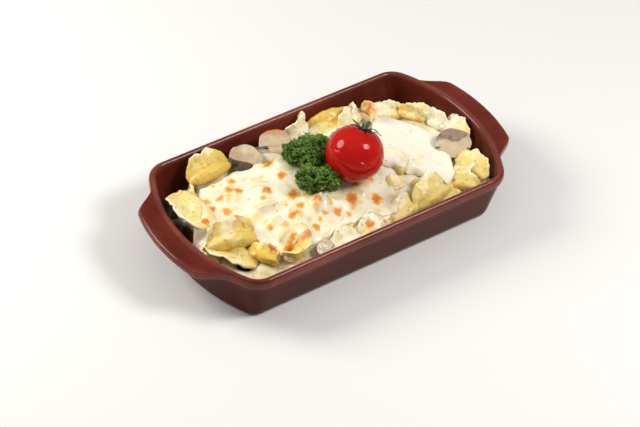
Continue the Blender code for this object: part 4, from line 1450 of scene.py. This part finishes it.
@dataclass
class CheeseBlanket:
    """Melted cheese that has run over the pieces below it and set with a rounded edge.

    The edge is given by the photograph's pixels and laid on the food.
    """

    name: str
    edge_pixels: tuple[tuple[float, float], ...]
    thickness: float
    step: float = 1.15 * MM
    flow: float = 2.6 * MM
    cover: float = 0.9 * MM
    edge_width: float = 5.0 * MM
    ragged: float = 2.2 * MM
    seed: float = 0.0

    def on_food(self, view: PhotoView, food: Food, column: float, row: float) -> Vector:
        """Find where a pixel shows the food's surface.

        Args:
            view: the photograph's camera.
            food: the bed.
            column: the pixel's column.
            row: its row, from the top.

        Returns:
            The place in plan.
        """
        spot = view.on_level(column, row, food.EDGE_LEVEL + food.CROWN)
        for _ in range(6):
            level = float(food.height(spot.x, spot.y, True)[0]) + 1.5 * self.thickness
            spot = 0.5 * (spot + view.on_level(column, row, level))
        return spot.to_2d()

    def edge(self, view: PhotoView, food: Food) -> list[Vector]:
        """Draw the edge as a smooth closed curve through its corners.

        Args:
            view: the photograph's camera.
            food: the bed.

        Returns:
            Places in plan, all the way round.
        """
        corners = [self.on_food(view, food, column, row) for column, row in self.edge_pixels]
        count = len(corners)
        points = []
        for i in range(count):
            a, b, c, d = (corners[(i + k) % count] for k in (-1, 0, 1, 2))
            for k in range(12):
                t = k / 12
                bend = (2 * a - 5 * b + 4 * c - d) * t**2 + (3 * b - a - 3 * c + d) * t**3
                points.append(b + 0.5 * ((c - a) * t + bend))
        return points

    def covers(self, edge: list[Vector], points: np.ndarray) -> np.ndarray:
        """Find which places the ragged edge encloses.

        Args:
            edge: places in plan, all the way round.
            points: rows of x and y, and more.

        Returns:
            True for each row inside.
        """
        x, y = points[:, 0].copy(), points[:, 1].copy()
        for index in range(len(x)):
            place = Vector((x[index] * 95.0, y[index] * 95.0, self.seed))
            shift = noise.noise_vector(place) + 0.5 * noise.noise_vector(place * 2.7)
            x[index] += shift.x * self.ragged
            y[index] += shift.y * self.ragged
        inside = np.zeros(len(x), bool)
        for a, b in zip(edge, edge[1:] + edge[:1]):
            crosses = (a.y > y) != (b.y > y)
            slope = (b.x - a.x) / (b.y - a.y) if a.y != b.y else 0.0
            inside ^= crosses & (x < a.x + (y - a.y) * slope)
        return inside

    def build(
        self, view: PhotoView, food: Food, terrain: Terrain, material: bpy.types.Material,
    ) -> bpy.types.Object:
        """Build the blanket on what lies below it.

        Args:
            view: the photograph's camera.
            food: the bed.
            terrain: the pieces below.
            material: its finish.

        Returns:
            The finished blanket.
        """
        edge = self.edge(view, food)
        margin = 4.0 * MM
        low = Vector((min(p.x for p in edge) - margin, min(p.y for p in edge) - margin))
        high = Vector((max(p.x for p in edge) + margin, max(p.y for p in edge) + margin))
        columns = int((high.x - low.x) / self.step)
        rows = int((high.y - low.y) / self.step)

        def lay(u: np.ndarray, v: np.ndarray) -> np.ndarray:
            """Return a level place at each pair of shares."""
            x = low.x + (high.x - low.x) * u
            y = low.y + (high.y - low.y) * v
            return np.column_stack((x, y, np.zeros(len(x))))

        obj = shaped_grid(self.name, columns, rows, lay)
        points = places(obj)
        order = np.lexsort((points[:, 0], np.round(points[:, 1], 6)))
        support = terrain.heights(points[order, 0], points[order, 1])
        support = np.maximum(support, food.height(points[order, 0], points[order, 1], True) - 1.2 * MM)
        support = support.reshape(rows + 1, columns + 1)
        soft = blurred(support, self.flow / self.step)
        top = np.maximum(soft + self.thickness, support + self.cover)
        top = blurred(top, 0.9)
        self.cut_to_edge(obj, self.covers(edge, points))
        points = places(obj)
        column_at = (points[:, 0] - low.x) / (high.x - low.x) * columns
        row_at = (points[:, 1] - low.y) / (high.y - low.y) * rows
        share = self.edge_shares(obj)
        under = sampled(support, row_at, column_at)
        over = sampled(top, row_at, column_at)
        lift = np.maximum(over - under, 0.7 * MM)
        relief = 0.18 * MM * roughness(points, 260.0)
        points[:, 2] = under + 0.35 * MM + (lift - 0.35 * MM + relief) * share
        set_places(obj, points)
        group = obj.vertex_groups.new(name="body")
        for index, value in enumerate(share):
            group.add([index], float(value), "REPLACE")
        store(obj, "thin", ease(1.0 - (lift - self.cover) / (1.6 * MM)) * share)
        apply_modifier(
            obj, "SOLIDIFY", thickness=self.thickness + 0.6 * MM, offset=-1.0,
            vertex_group="body", thickness_vertex_group=0.22, use_even_offset=False,
        )
        subdivide(obj)
        settle(obj, material)
        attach(obj, "root")
        return obj

    def cut_to_edge(self, obj: bpy.types.Object, keep: np.ndarray) -> None:
        """Delete what lies outside the edge and round the stepped border that is left.

        Args:
            obj: the grid.
            keep: True for each vertex inside.
        """
        choose(obj)
        obj.data.vertices.foreach_set("select", ~keep)
        obj.data.polygons.foreach_set("select", np.zeros(len(obj.data.polygons), bool))
        obj.data.edges.foreach_set("select", np.zeros(len(obj.data.edges), bool))
        bpy.ops.object.mode_set(mode="EDIT")
        bpy.ops.mesh.select_mode(type="VERT")
        bpy.ops.mesh.delete(type="VERT")
        bpy.ops.mesh.select_all(action="SELECT")
        bpy.ops.mesh.vertices_smooth(factor=0.5, repeat=5)
        bpy.ops.object.mode_set(mode="OBJECT")
        keep_largest_sheet(obj)

    def edge_shares(self, obj: bpy.types.Object) -> np.ndarray:
        """Measure how far each vertex is from the border.

        Args:
            obj: the blanket's sheet.

        Returns:
            A number for each, rounded from 0 at the border up to 1.
        """
        mesh = obj.data
        used = np.zeros(len(mesh.edges), int)
        for polygon in mesh.polygons:
            for key in polygon.loop_indices:
                used[mesh.loops[key].edge_index] += 1
        tree = KDTree(len(mesh.vertices))
        for edge in mesh.edges:
            if used[edge.index] == 1:
                for vertex in edge.vertices:
                    tree.insert(mesh.vertices[vertex].co, vertex)
        tree.balance()
        away = np.array([tree.find(vertex.co)[2] for vertex in mesh.vertices])
        near = np.clip(away / self.edge_width, 0.0, 1.0)
        return np.sqrt(1.0 - (1.0 - near) ** 2)


def sampled(grid: np.ndarray, row: np.ndarray, column: np.ndarray) -> np.ndarray:
    """Read a grid between its points.

    Args:
        grid: the values.
        row: fractional rows.
        column: fractional columns.

    Returns:
        The value at each place.
    """
    row = np.clip(row, 0, grid.shape[0] - 1.001)
    column = np.clip(column, 0, grid.shape[1] - 1.001)
    i, j = row.astype(int), column.astype(int)
    a, b = row - i, column - j
    near = grid[i, j] * (1 - b) + grid[i, j + 1] * b
    far = grid[i + 1, j] * (1 - b) + grid[i + 1, j + 1] * b
    return near * (1 - a) + far * a


def keep_largest_sheet(obj: bpy.types.Object) -> None:
    """Delete every scrap of the mesh that isn't joined to its largest part.

    Args:
        obj: the object.
    """
    bm = bmesh.new()
    bm.from_mesh(obj.data)
    unseen, sheets = set(bm.verts), []
    for start in list(bm.verts):
        if start not in unseen:
            continue
        unseen.discard(start)
        sheet, front = [], [start]
        while front:
            vert = front.pop()
            sheet.append(vert)
            for edge in vert.link_edges:
                other = edge.other_vert(vert)
                if other in unseen:
                    unseen.discard(other)
                    front.append(other)
        sheets.append(sheet)
    sheets.sort(key=len)
    for sheet in sheets[:-1]:
        bmesh.ops.delete(bm, geom=sheet, context="VERTS")
    bm.to_mesh(obj.data)
    bm.free()


# The garnish


@dataclass
class Tomato:
    """The whole small tomato and its dry green star."""

    x: float = 11.2
    y: float = -11.2
    z: float = 57.0
    radius: float = 19.2
    tilt: float = 33.0
    tilt_heading: float = 19.0
    sepals: int = 6

    def matrix(self) -> Matrix:
        """Lean the upright tomato over.

        Returns:
            The matrix of its place.
        """
        turn = Matrix.Rotation(math.radians(self.tilt_heading), 4, "Z")
        tilt = Matrix.Rotation(math.radians(self.tilt), 4, "Y")
        return Matrix.Translation(Vector((self.x, self.y, self.z)) * MM) @ turn @ tilt @ turn.inverted()

    def underside(self, x: np.ndarray, y: np.ndarray) -> np.ndarray:
        """Find the height of its lower side.

        Args:
            x: places along the dish.
            y: places across it.

        Returns:
            The height over each place, or far up away from it.
        """
        away = np.hypot(x / MM - self.x, y / MM - self.y)
        reach = self.radius + 0.2
        under = (self.z - np.sqrt(np.maximum(reach**2 - away**2, 0.0))) * MM
        return np.where(away < reach, under, 1.0)

    def top(self, across: np.ndarray, angle: np.ndarray) -> np.ndarray:
        """Shape the upright tomato's upper half, in millimetres.

        Args:
            across: distances from the stalk's axis.
            angle: directions from it, in radians.

        Returns:
            The height at each.
        """
        lobes = 1.0 + 0.006 * np.cos(5.0 * angle)
        share = np.minimum(across / (self.radius * lobes), 1.0)
        folds = 1.0 + 0.16 * np.cos(5.0 * angle + 0.6)
        return 0.99 * self.radius * np.sqrt(1.0 - share**2) - 3.6 * np.exp(-((across / 5.2) ** 2)) * folds

    def build_fruit(self, material: bpy.types.Material) -> bpy.types.Object:
        """Build the fruit.

        Args:
            material: its finish.

        Returns:
            The finished fruit.
        """
        bpy.ops.object.select_all(action="DESELECT")
        bpy.ops.mesh.primitive_uv_sphere_add(segments=120, ring_count=84, radius=self.radius * MM)
        obj = bpy.context.object
        obj.name = "whole_tomato"
        points = places(obj) / MM
        across = np.hypot(points[:, 0], points[:, 1])
        angle = np.arctan2(points[:, 1], points[:, 0])
        upper = points[:, 2] > 0
        points[:, 2] = np.where(upper, self.top(across, angle), points[:, 2] * 0.97)
        points *= (1.0 - 0.004 * np.cos(5.0 * angle))[:, None]
        store(obj, "shoulder", np.where(upper, np.exp(-((across / 8.0) ** 2)), 0.0))
        ribs = np.sin(26.0 * angle) * np.exp(-((across - 11.0) / 5.0) ** 2)
        store(obj, "wrinkle", np.where(upper, ribs, 0.0))
        set_places(obj, points * MM)
        obj.data.transform(self.matrix())
        settle(obj, material)
        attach(obj, "root")
        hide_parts("cherry_tomato")
        return obj

    def sepal(self, index: int) -> bpy.types.Object:
        """Build one thin curled sepal.

        Args:
            index: its number round the stalk.

        Returns:
            The sepal on the upright tomato.
        """
        chance = random.Random(40 + index)
        heading = 2.0 * math.pi * (index + chance.uniform(-0.16, 0.16)) / self.sepals
        length = chance.uniform(10.5, 13.5)
        curl = chance.uniform(2.0, 6.0)
        twist = chance.uniform(-1.3, 1.3)

        def shape(u: np.ndarray, v: np.ndarray) -> np.ndarray:
            """Return the surface at each pair of shares."""
            away = 0.6 + (length - 0.6) * u
            half = 1.75 * (1.0 - u) ** 0.75 * (0.55 + 0.45 * np.minimum(1.0, u * 5.0)) + 0.12
            roll = twist * u**1.5
            side = (v - 0.5) * 2.0 * half
            turn = heading + 0.12 * np.sin(3.0 * u + index)
            x = away * np.cos(turn) - side * np.cos(roll) * np.sin(turn)
            y = away * np.sin(turn) + side * np.cos(roll) * np.cos(turn)
            base = self.top(away, np.full(len(u), heading)) + 0.75
            cup = 0.35 * (side / np.maximum(half, 0.1)) ** 2 * (1.0 - u)
            return np.column_stack((x, y, base + curl * u**3 + side * np.sin(roll) + cup)) * MM

        obj = shaped_grid("sepal", 26, 6, shape)
        store(obj, "rise", 0.0)
        store(obj, "tone", chance.uniform(0.0, 0.5))
        apply_modifier(obj, "SOLIDIFY", thickness=0.42 * MM, offset=1.0)
        subdivide(obj)
        return obj

    def stalk(self) -> bpy.types.Object:
        """Build the stub of stalk, thick at its foot and torn at its end.

        Returns:
            The stalk on the upright tomato.
        """

        def shape(u: np.ndarray, v: np.ndarray) -> np.ndarray:
            """Return the surface at each pair of shares."""
            angle = 2.0 * math.pi * u
            reach = 2.3 * np.exp(-3.5 * v) + 1.15 + 0.25 * np.cos(4 * angle) * v
            radius = np.where(v > 0.96, 0.0, reach)
            foot = self.top(np.zeros(1), np.zeros(1))[0] + 0.8
            rise = foot + 7.2 * np.minimum(v, 0.94) + 0.5 * np.sin(2 * angle) * v
            lean = 1.4 * v**2
            return np.column_stack((radius * np.cos(angle) + lean, radius * np.sin(angle), rise)) * MM

        obj = shaped_grid("stalk", 24, 25, shape)
        store(obj, "rise", 0.0)
        store(obj, "tone", 0.6)
        close_seams(obj)
        return obj

    def build_star(self, material: bpy.types.Material) -> bpy.types.Object:
        """Build the star of sepals with its stalk.

        Args:
            material: its finish.

        Returns:
            The finished star.
        """
        parts = [self.sepal(index) for index in range(self.sepals)] + [self.stalk()]
        obj = join(parts, "tomato_star")
        obj.data.transform(self.matrix())
        settle(obj, material)
        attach(obj, "root")
        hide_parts("tomato_calyx")
        return obj


Clump = tuple[float, float, float, float]


@dataclass
class Parsley:
    """Curly parsley: clumps of ruffled leaflets round dark cores that stand in for the shade inside each
    clump, tied by thin stems.

    A clump is the x, y and z of its middle and its radius, in millimetres.
    """

    GOLDEN_ANGLE = 2.39996

    leaflet_kinds: int = 8
    leaflets_per_clump: int = 84
    clumps: tuple[Clump, ...] = (
        (-12.5, 19.5, 44.5, 7.2), (-4.0, 17.0, 46.0, 8.6), (2.5, 14.5, 46.5, 7.4),
        (-8.5, 6.5, 46.5, 7.4), (-19.5, -6.5, 45.0, 8.0), (-10.5, -13.0, 46.0, 7.8),
    )

    def leaflet(self, kind: int) -> bpy.types.Object:
        """Build one curled leaflet with its stem end at the origin, growing along +Z.

        Args:
            kind: its number among the kinds.

        Returns:
            The leaflet.
        """
        chance = random.Random(70 + kind)
        size = chance.uniform(3.2, 4.4)
        waves = chance.choice((5, 6, 7))
        phase = chance.uniform(0.0, 6.0)

        def shape(u: np.ndarray, v: np.ndarray) -> np.ndarray:
            """Return the surface at each pair of shares."""
            angle = math.radians(118.0) * (2.0 * v - 1.0)
            lobes = 1.0 + 0.20 * np.cos(waves * angle * 1.15 + phase)
            reach = (0.12 + 0.88 * u) * size * lobes
            ruffle = 0.34 * size * u**1.6 * np.sin(waves * 1.9 * angle + phase)
            fold = -0.30 * size * u**2
            x = reach * np.sin(angle) * 0.85
            z = reach * np.cos(angle) * 0.8 + 0.35 * size
            return np.column_stack((x, ruffle + fold, z)) * MM

        obj = shaped_grid(f"leaflet_{kind}", 4, 14, shape)
        shares = places(obj)
        # rise runs up to the leaflet's outer tip, where the finish paints a highlight
        store(obj, "rise", np.clip(np.hypot(shares[:, 0], shares[:, 2]) / (size * MM), 0.0, 1.0))
        apply_modifier(obj, "SOLIDIFY", thickness=0.28 * MM, offset=0.0)
        return obj

    def leaflet_matrix(self, clump: Clump, chance: random.Random, order: int) -> Matrix:
        """Place one leaflet on a clump.

        Args:
            clump: the clump.
            chance: the source of random turns.
            order: the leaflet's number.

        Returns:
            The matrix of its place.
        """
        x, y, z, radius = clump
        turn = self.GOLDEN_ANGLE * order
        rise = 1.0 - 1.55 * (order + 0.5) / self.leaflets_per_clump
        level = math.sqrt(max(0.0, 1.0 - rise * rise))
        way = Vector((level * math.cos(turn), level * math.sin(turn), rise))
        way = (way + Vector([chance.uniform(-0.35, 0.35) for _ in range(3)])).normalized()
        depth = radius * chance.uniform(0.52, 0.80)
        spot = Vector((x + way.x * depth, y + way.y * depth, z + way.z * depth * 0.82)) * MM
        outwards = way.to_track_quat("Z", "Y").to_matrix().to_4x4()
        spin = Matrix.Rotation(chance.uniform(0.0, 2.0 * math.pi), 4, "Z")
        lean = Matrix.Rotation(chance.uniform(-0.9, 0.9), 4, "X")
        return Matrix.Translation(spot) @ outwards @ spin @ lean

    def build(
        self, material: bpy.types.Material, stem_material: bpy.types.Material,
    ) -> list[bpy.types.Object]:
        """Build the leaves and the stems.

        Args:
            material: the leaves' finish.
            stem_material: the stems' and cores' finish.

        Returns:
            The two objects.
        """
        kinds = [self.leaflet(kind) for kind in range(self.leaflet_kinds)]
        chance = random.Random(5)
        parts = []
        for clump in self.clumps:
            for order in range(self.leaflets_per_clump):
                source = kinds[chance.randrange(self.leaflet_kinds)]
                leaf = bpy.data.objects.new("leaf", source.data.copy())
                bpy.context.scene.collection.objects.link(leaf)
                leaf.data.transform(self.leaflet_matrix(clump, chance, order))
                store(leaf, "tone", chance.uniform(0.0, 0.85))
                parts.append(leaf)
        for kind in kinds:
            bpy.data.objects.remove(kind)
        leaves = join(parts, "parsley_leaves")
        settle(leaves, material)
        stems = join([self.shade_core(clump) for clump in self.clumps] + self.stems(), "parsley_stems")
        settle(stems, stem_material)
        for obj in (leaves, stems):
            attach(obj, "root")
        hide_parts("parsley_sprig")
        return [leaves, stems]

    def shade_core(self, clump: Clump) -> bpy.types.Object:
        """Build the dark inner mass of one clump, a painted shade that stands for its dark inside.

        Args:
            clump: the clump.

        Returns:
            The core.
        """
        x, y, z, radius = clump
        bpy.ops.object.select_all(action="DESELECT")
        bpy.ops.mesh.primitive_ico_sphere_add(subdivisions=4, radius=0.62 * radius * MM)
        obj = bpy.context.object
        points = places(obj)
        swell = 1.0 + 0.25 * roughness(points, 600.0, (x, y, z))
        set_places(obj, points * swell[:, None] * (1.0, 1.0, 0.85) + np.array((x, y, z)) * MM)
        # painted shade: the core takes the darkest tone
        store(obj, "tone", 0.0)
        store(obj, "rise", 0.0)
        return obj

    def stems(self) -> list[bpy.types.Object]:
        """Build the thin stems that tie the clumps together.

        Returns:
            One stem for each pair of clumps.
        """
        made = []
        for first, second in zip(self.clumps, self.clumps[1:]):
            curve = bpy.data.curves.new("stem", "CURVE")
            curve.dimensions = "3D"
            curve.bevel_depth = 0.75 * MM
            curve.bevel_resolution = 3
            curve.use_fill_caps = True
            spline = curve.splines.new("BEZIER")
            spline.bezier_points.add(1)
            for point, clump in zip(spline.bezier_points, (first, second)):
                point.co = Vector(clump[:3]) * MM + Vector((0.0, 0.0, 0.5 * MM))
                point.handle_left_type = point.handle_right_type = "AUTO"
            obj = bpy.data.objects.new("stem", curve)
            bpy.context.scene.collection.objects.link(obj)
            choose(obj)
            bpy.ops.object.convert(target="MESH")
            close_seams(obj)
            store(obj, "tone", 1.0)
            store(obj, "rise", 0.0)
            made.append(obj)
        return made


@dataclass(frozen=True)
class Mushroom:
    """A mushroom cut lengthways, in millimetres and degrees: cap, gills and a stub of stem."""

    SLIM_STEM = 0.38

    name: str
    node: str
    x: float
    y: float
    z: float
    turn: float
    tilt: float
    radius: float
    toast: float = 0.0
    skin_line: float = 0.75
    gill_line: float = -9.0
    depth: float = 0.72
    stem: float = 0.38

    def line(self, share: np.ndarray) -> tuple[np.ndarray, np.ndarray]:
        """Draw half its outline, from the crown round the cap's lip to the stem's foot.

        Args:
            share: shares from 0 to 1 along the outline.

        Returns:
            The distance from the axis and the height of each.
        """
        cap_angle = np.radians(90.0 - 112.0 * np.minimum(share / 0.55, 1.0))
        inwards = np.clip((share - 0.55) / 0.2, 0.0, 1.0)
        down = np.clip((share - 0.75) / 0.25, 0.0, 1.0)
        full = (self.stem - self.SLIM_STEM) / (1.0 - self.SLIM_STEM)
        lip = 0.09 + 0.27 * full
        under = 0.93 - (0.93 - self.stem) * ease(inwards) - (0.05 + 0.6 * full) * down**2
        across = np.where(share < 0.55, np.cos(cap_angle), under)
        below = -0.21 - lip * inwards + (lip - 0.46) * down
        below = below + 0.08 * (1.0 - full) * np.sin(math.pi * inwards)
        height = np.where(share < 0.55, 0.78 * np.sin(cap_angle) + 0.1, below)
        return np.where(share > 0.999, 0.0, np.where(share < 0.001, 0.0, across)), height

    def shell(self) -> bpy.types.Object:
        """Build the rounded outside, half a turn of the outline.

        Returns:
            The outside, upright and open at the cut.
        """

        def shape(u: np.ndarray, v: np.ndarray) -> np.ndarray:
            """Return the surface at each pair of shares."""
            across, height = self.line(u)
            angle = math.pi * v
            gills = ease((u - 0.56) / 0.04) * (1.0 - ease((u - 0.71) / 0.04))
            ridge = 0.045 * gills * np.sign(np.sin(36.0 * angle))
            wobble = 1.0 + 0.03 * np.sin(3.0 * angle + self.turn) * np.sin(math.pi * v)
            x = across * np.cos(angle) * wobble
            y = across * np.sin(angle) * self.depth * wobble
            return np.column_stack((x, y, height + ridge * np.sin(math.pi * v))) * self.radius * MM

        return shaped_grid(self.name, 56, 72, shape)

    def cut(self) -> bpy.types.Object:
        """Build the flat cut face across the outline.

        Returns:
            The cut face.
        """

        def shape(u: np.ndarray, v: np.ndarray) -> np.ndarray:
            """Return the surface at each pair of shares."""
            across, height = self.line(u)
            return np.column_stack((across * (2.0 * v - 1.0), np.zeros(len(u)), height)) * self.radius * MM

        return shaped_grid("cut", 56, 26, shape)

    def build(self, plan: DishPlan, material: bpy.types.Material) -> bpy.types.Object:
        """Build the mushroom in its place and keep its tones for its finish.

        Args:
            plan: the dish's measures.
            material: its finish.

        Returns:
            The finished mushroom.
        """
        obj = join([self.shell(), self.cut()], self.name)
        close_seams(obj)
        points = places(obj) / (self.radius * MM)
        across = np.hypot(points[:, 0], points[:, 1] / self.depth)
        top = 0.1 + 0.78 * np.sqrt(np.clip(1.0 - across**2, 0.0, 1.0))
        on_cap = ease((points[:, 2] - top + 0.10) / 0.08)
        on_cut = points[:, 1] < 0.004
        beside_stem = ease((np.abs(points[:, 0]) - self.stem + 0.04) / 0.1)
        gill_band = np.exp(-((points[:, 2] + 0.17) / 0.075) ** 2) * beside_stem
        under = np.where(on_cut, 0.0, ease((-0.12 - points[:, 2]) / 0.06) * ease((across - 0.40) / 0.06))
        under = np.maximum(under, ease((self.gill_line - points[:, 2]) / 0.12))
        ragged = 0.16 * np.sin(4.0 * points[:, 0] + 0.6) - 0.22 * points[:, 0]
        above = ease((points[:, 2] + ragged - self.skin_line) / 0.30)
        store(obj, "skin", np.maximum(np.where(on_cut, 0.55 * on_cap, on_cap), above))
        store(obj, "gill", np.maximum(np.where(on_cut, gill_band, 0.0), under))
        store(obj, "toast", self.toast * ease((points[:, 2] - 0.35) / 0.4))
        points = points + 0.07 * wrinkles(points, 2.6, (self.x, 0.0, 0.0)) * (1.0, 0.6, 1.0)
        points = (points * self.radius) @ turned(self.turn, self.tilt).T + (self.x, self.y, self.z)
        set_places(obj, plan.pushed_inside(points * MM, 0.8 * MM))
        settle(obj, material)
        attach(obj, "root")
        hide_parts(self.node)
        return obj


# The studio


@dataclass(frozen=True)
class SoftBox:
    """One round studio lamp that looks at the food."""

    AIM = Vector((0.0, 0.0, 0.03))

    name: str
    way: Vector
    distance: float
    size: float
    power: float
    colour: Colour = (1.0, 1.0, 1.0)

    def make(self) -> None:
        """Add the lamp to the scene."""
        data = bpy.data.lights.new(self.name, "AREA")
        data.shape = "DISK"
        data.size = self.size
        data.energy = self.power
        data.color = self.colour
        lamp = bpy.data.objects.new(self.name, data)
        lamp.location = self.AIM + self.way.normalized() * self.distance
        lamp.rotation_mode = "QUATERNION"
        lamp.rotation_quaternion = (self.AIM - lamp.location).to_track_quat("-Z", "Y")
        bpy.context.scene.collection.objects.link(lamp)


class Studio:
    """Pale floor, soft lamps and the world's even light."""

    LAMPS = (
        SoftBox("key", Vector((-0.63, 0.61, 0.62)), 0.95, 0.46, 6.9, (1.0, 0.98, 0.94)),
        SoftBox("fill", Vector((0.43, -0.47, 0.77)), 1.0, 0.36, 6.2, (1.0, 0.98, 0.95)),
        SoftBox("top", Vector((-0.10, 0.10, 1.0)), 1.7, 2.2, 2.6),
    )
    AMBIENT = 0.34
    AMBIENT_COLOUR = (0.97, 0.97, 1.0, 1.0)
    FLOOR_SIZE = 8.0
    FLOOR_LEVEL = -0.4 * MM

    def build(self) -> None:
        """Set up the lamps, the world and the floor."""
        for lamp in self.LAMPS:
            lamp.make()
        world = bpy.data.worlds.new("studio")
        world.use_nodes = True
        background = world.node_tree.nodes["Background"]
        background.inputs["Color"].default_value = self.AMBIENT_COLOUR
        background.inputs["Strength"].default_value = self.AMBIENT
        bpy.context.scene.world = world
        bpy.context.scene.view_settings.view_transform = "Standard"
        bpy.ops.object.select_all(action="DESELECT")
        bpy.ops.mesh.primitive_plane_add(size=self.FLOOR_SIZE, location=(0.0, 0.0, self.FLOOR_LEVEL))
        floor = bpy.context.object
        floor.name = "floor"
        floor.data.materials.append(FloorFinish().make())


class Cheese(Enum):
    """The two kinds of melted cheese."""

    TOASTED = "toasted"
    PLAIN = "plain"


PLAIN_CHEESE = CheeseFinish(
    "plain_cheese",
    white=(0.91, 0.84, 0.69),
    warm=(0.90, 0.81, 0.62),
    thin=(0.87, 0.76, 0.46),
)
DRY_STAR = LeafFinish(
    "dry_star", dark=(0.018, 0.020, 0.008), light=(0.10, 0.11, 0.03), painted_highlight=(0.16, 0.15, 0.06), gloss=0.55,
)
PARSLEY_LEAF = LeafFinish(
    "parsley_leaf", dark=(0.006, 0.026, 0.001), light=(0.085, 0.19, 0.009), painted_highlight=(0.21, 0.36, 0.04),
    gloss=0.34,
)
PARSLEY_STEM = LeafFinish(
    "parsley_stem", dark=(0.010, 0.040, 0.005), light=(0.20, 0.33, 0.06), painted_highlight=(0.2, 0.33, 0.06), gloss=0.4,
)

BLANKETS = {
    Cheese.TOASTED: CheeseBlanket(
        name="toasted_cheese",
        edge_pixels=(
            (196.0, 186.0), (206.0, 181.0), (222.0, 173.0), (236.0, 167.0), (250.0, 163.0), (258.0, 152.0),
            (268.0, 146.0), (284.0, 149.0), (306.0, 150.0), (325.0, 158.0), (345.0, 170.0), (372.0, 172.0),
            (388.0, 176.0), (400.0, 188.0), (404.0, 202.0), (396.0, 214.0), (380.0, 219.0), (364.0, 219.0),
            (346.0, 226.0), (330.0, 236.0), (316.0, 243.0), (300.0, 249.0), (284.0, 254.0), (270.0, 256.0),
            (256.0, 240.0), (246.0, 228.0), (234.0, 221.0), (222.0, 228.0), (214.0, 240.0), (206.0, 252.0),
            (196.0, 250.0), (191.0, 240.0), (198.0, 226.0), (199.0, 214.0), (196.0, 200.0),
        ),
        thickness=1.9 * MM,
        seed=3.0,
    ),
    Cheese.PLAIN: CheeseBlanket(
        name="plain_cheese",
        edge_pixels=(
            (368.0, 128.0), (376.0, 112.0), (392.0, 112.0), (406.0, 116.0), (420.0, 119.0), (432.0, 126.0),
            (444.0, 139.0), (453.0, 150.0), (457.0, 163.0), (457.0, 176.0), (449.0, 186.0), (438.0, 181.0),
            (426.0, 176.0), (414.0, 171.0), (402.0, 170.0), (392.0, 164.0), (384.0, 160.0), (376.0, 148.0),
        ),
        thickness=3.3 * MM,
        flow=4.8 * MM,
        cover=1.6 * MM,
        ragged=1.6 * MM,
        seed=9.0,
    ),
}

# Name, node, x, y, z, turn, tilt, radius, toast, skin line and gill line of each
MUSHROOMS = (
    Mushroom("sliced_mushroom", "mushroom_half", 90.0, -18.0, 34.0, -30.0, 50.0, 12.5, 0.0, 0.12, stem=0.7),
    Mushroom("mushroom_button", "mushroom_cap", -36.0, 43.0, 30.5, -52.0, 34.0, 11.5, 0.0, 9.0, -0.02),
    Mushroom("browned_mushroom", "mushroom_slice", -13.0, 42.5, 35.5, -22.0, 54.0, 11.0, 0.9),
    Mushroom("small_mushroom", "mushroom_bit", -38.0, -52.5, 30.0, 10.0, 60.0, 7.0),
)


def main() -> None:
    """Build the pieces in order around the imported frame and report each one."""
    logging.basicConfig(level=logging.INFO, format="%(message)s")
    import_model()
    noise.seed_set(NOISE_SEED)
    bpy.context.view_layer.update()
    view = PhotoView()
    view.make()
    Studio().build()
    plan = DishPlan()
    tomato = Tomato()
    food = Food(plan, tomato, list(MUSHROOMS))
    pasta_finish = PastaFinish().make()

    pieces = [Dish(plan).build(GlazeFinish().make())]
    bed = SauceBed(plan, food).build(SauceFinish().make())
    pasta = Pasta(food).build(pasta_finish)
    mushroom_finish = MushroomFinish().make()
    mushrooms = [mushroom.build(plan, mushroom_finish) for mushroom in MUSHROOMS]
    pieces += [bed, *pasta, *mushrooms]

    cheese_finish = CheeseFinish().make()
    ground = Terrain([bed, *pasta])
    toasted = BLANKETS[Cheese.TOASTED].build(view, food, ground, cheese_finish)
    plain = BLANKETS[Cheese.PLAIN].build(view, food, ground, PLAIN_CHEESE.make())
    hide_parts("melted_cheese")
    pieces += [toasted, plain]

    toasting = Toasting(view, Terrain([toasted, plain, *pasta, *mushrooms]))
    toasting.paint(toasted)
    toasting.paint(plain, 0.5)
    for piece in (*pasta, *mushrooms):
        toasting.paint(piece)

    pieces.append(tomato.build_fruit(TomatoFinish().make()))
    pieces.append(tomato.build_star(DRY_STAR.make()))
    pieces += Parsley().build(PARSLEY_LEAF.make(), PARSLEY_STEM.make())

    for piece in pieces:
        LOG.info("%s: %d vertices", piece.name, len(piece.data.vertices))
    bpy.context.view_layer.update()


if __name__ == "__main__":
    main()
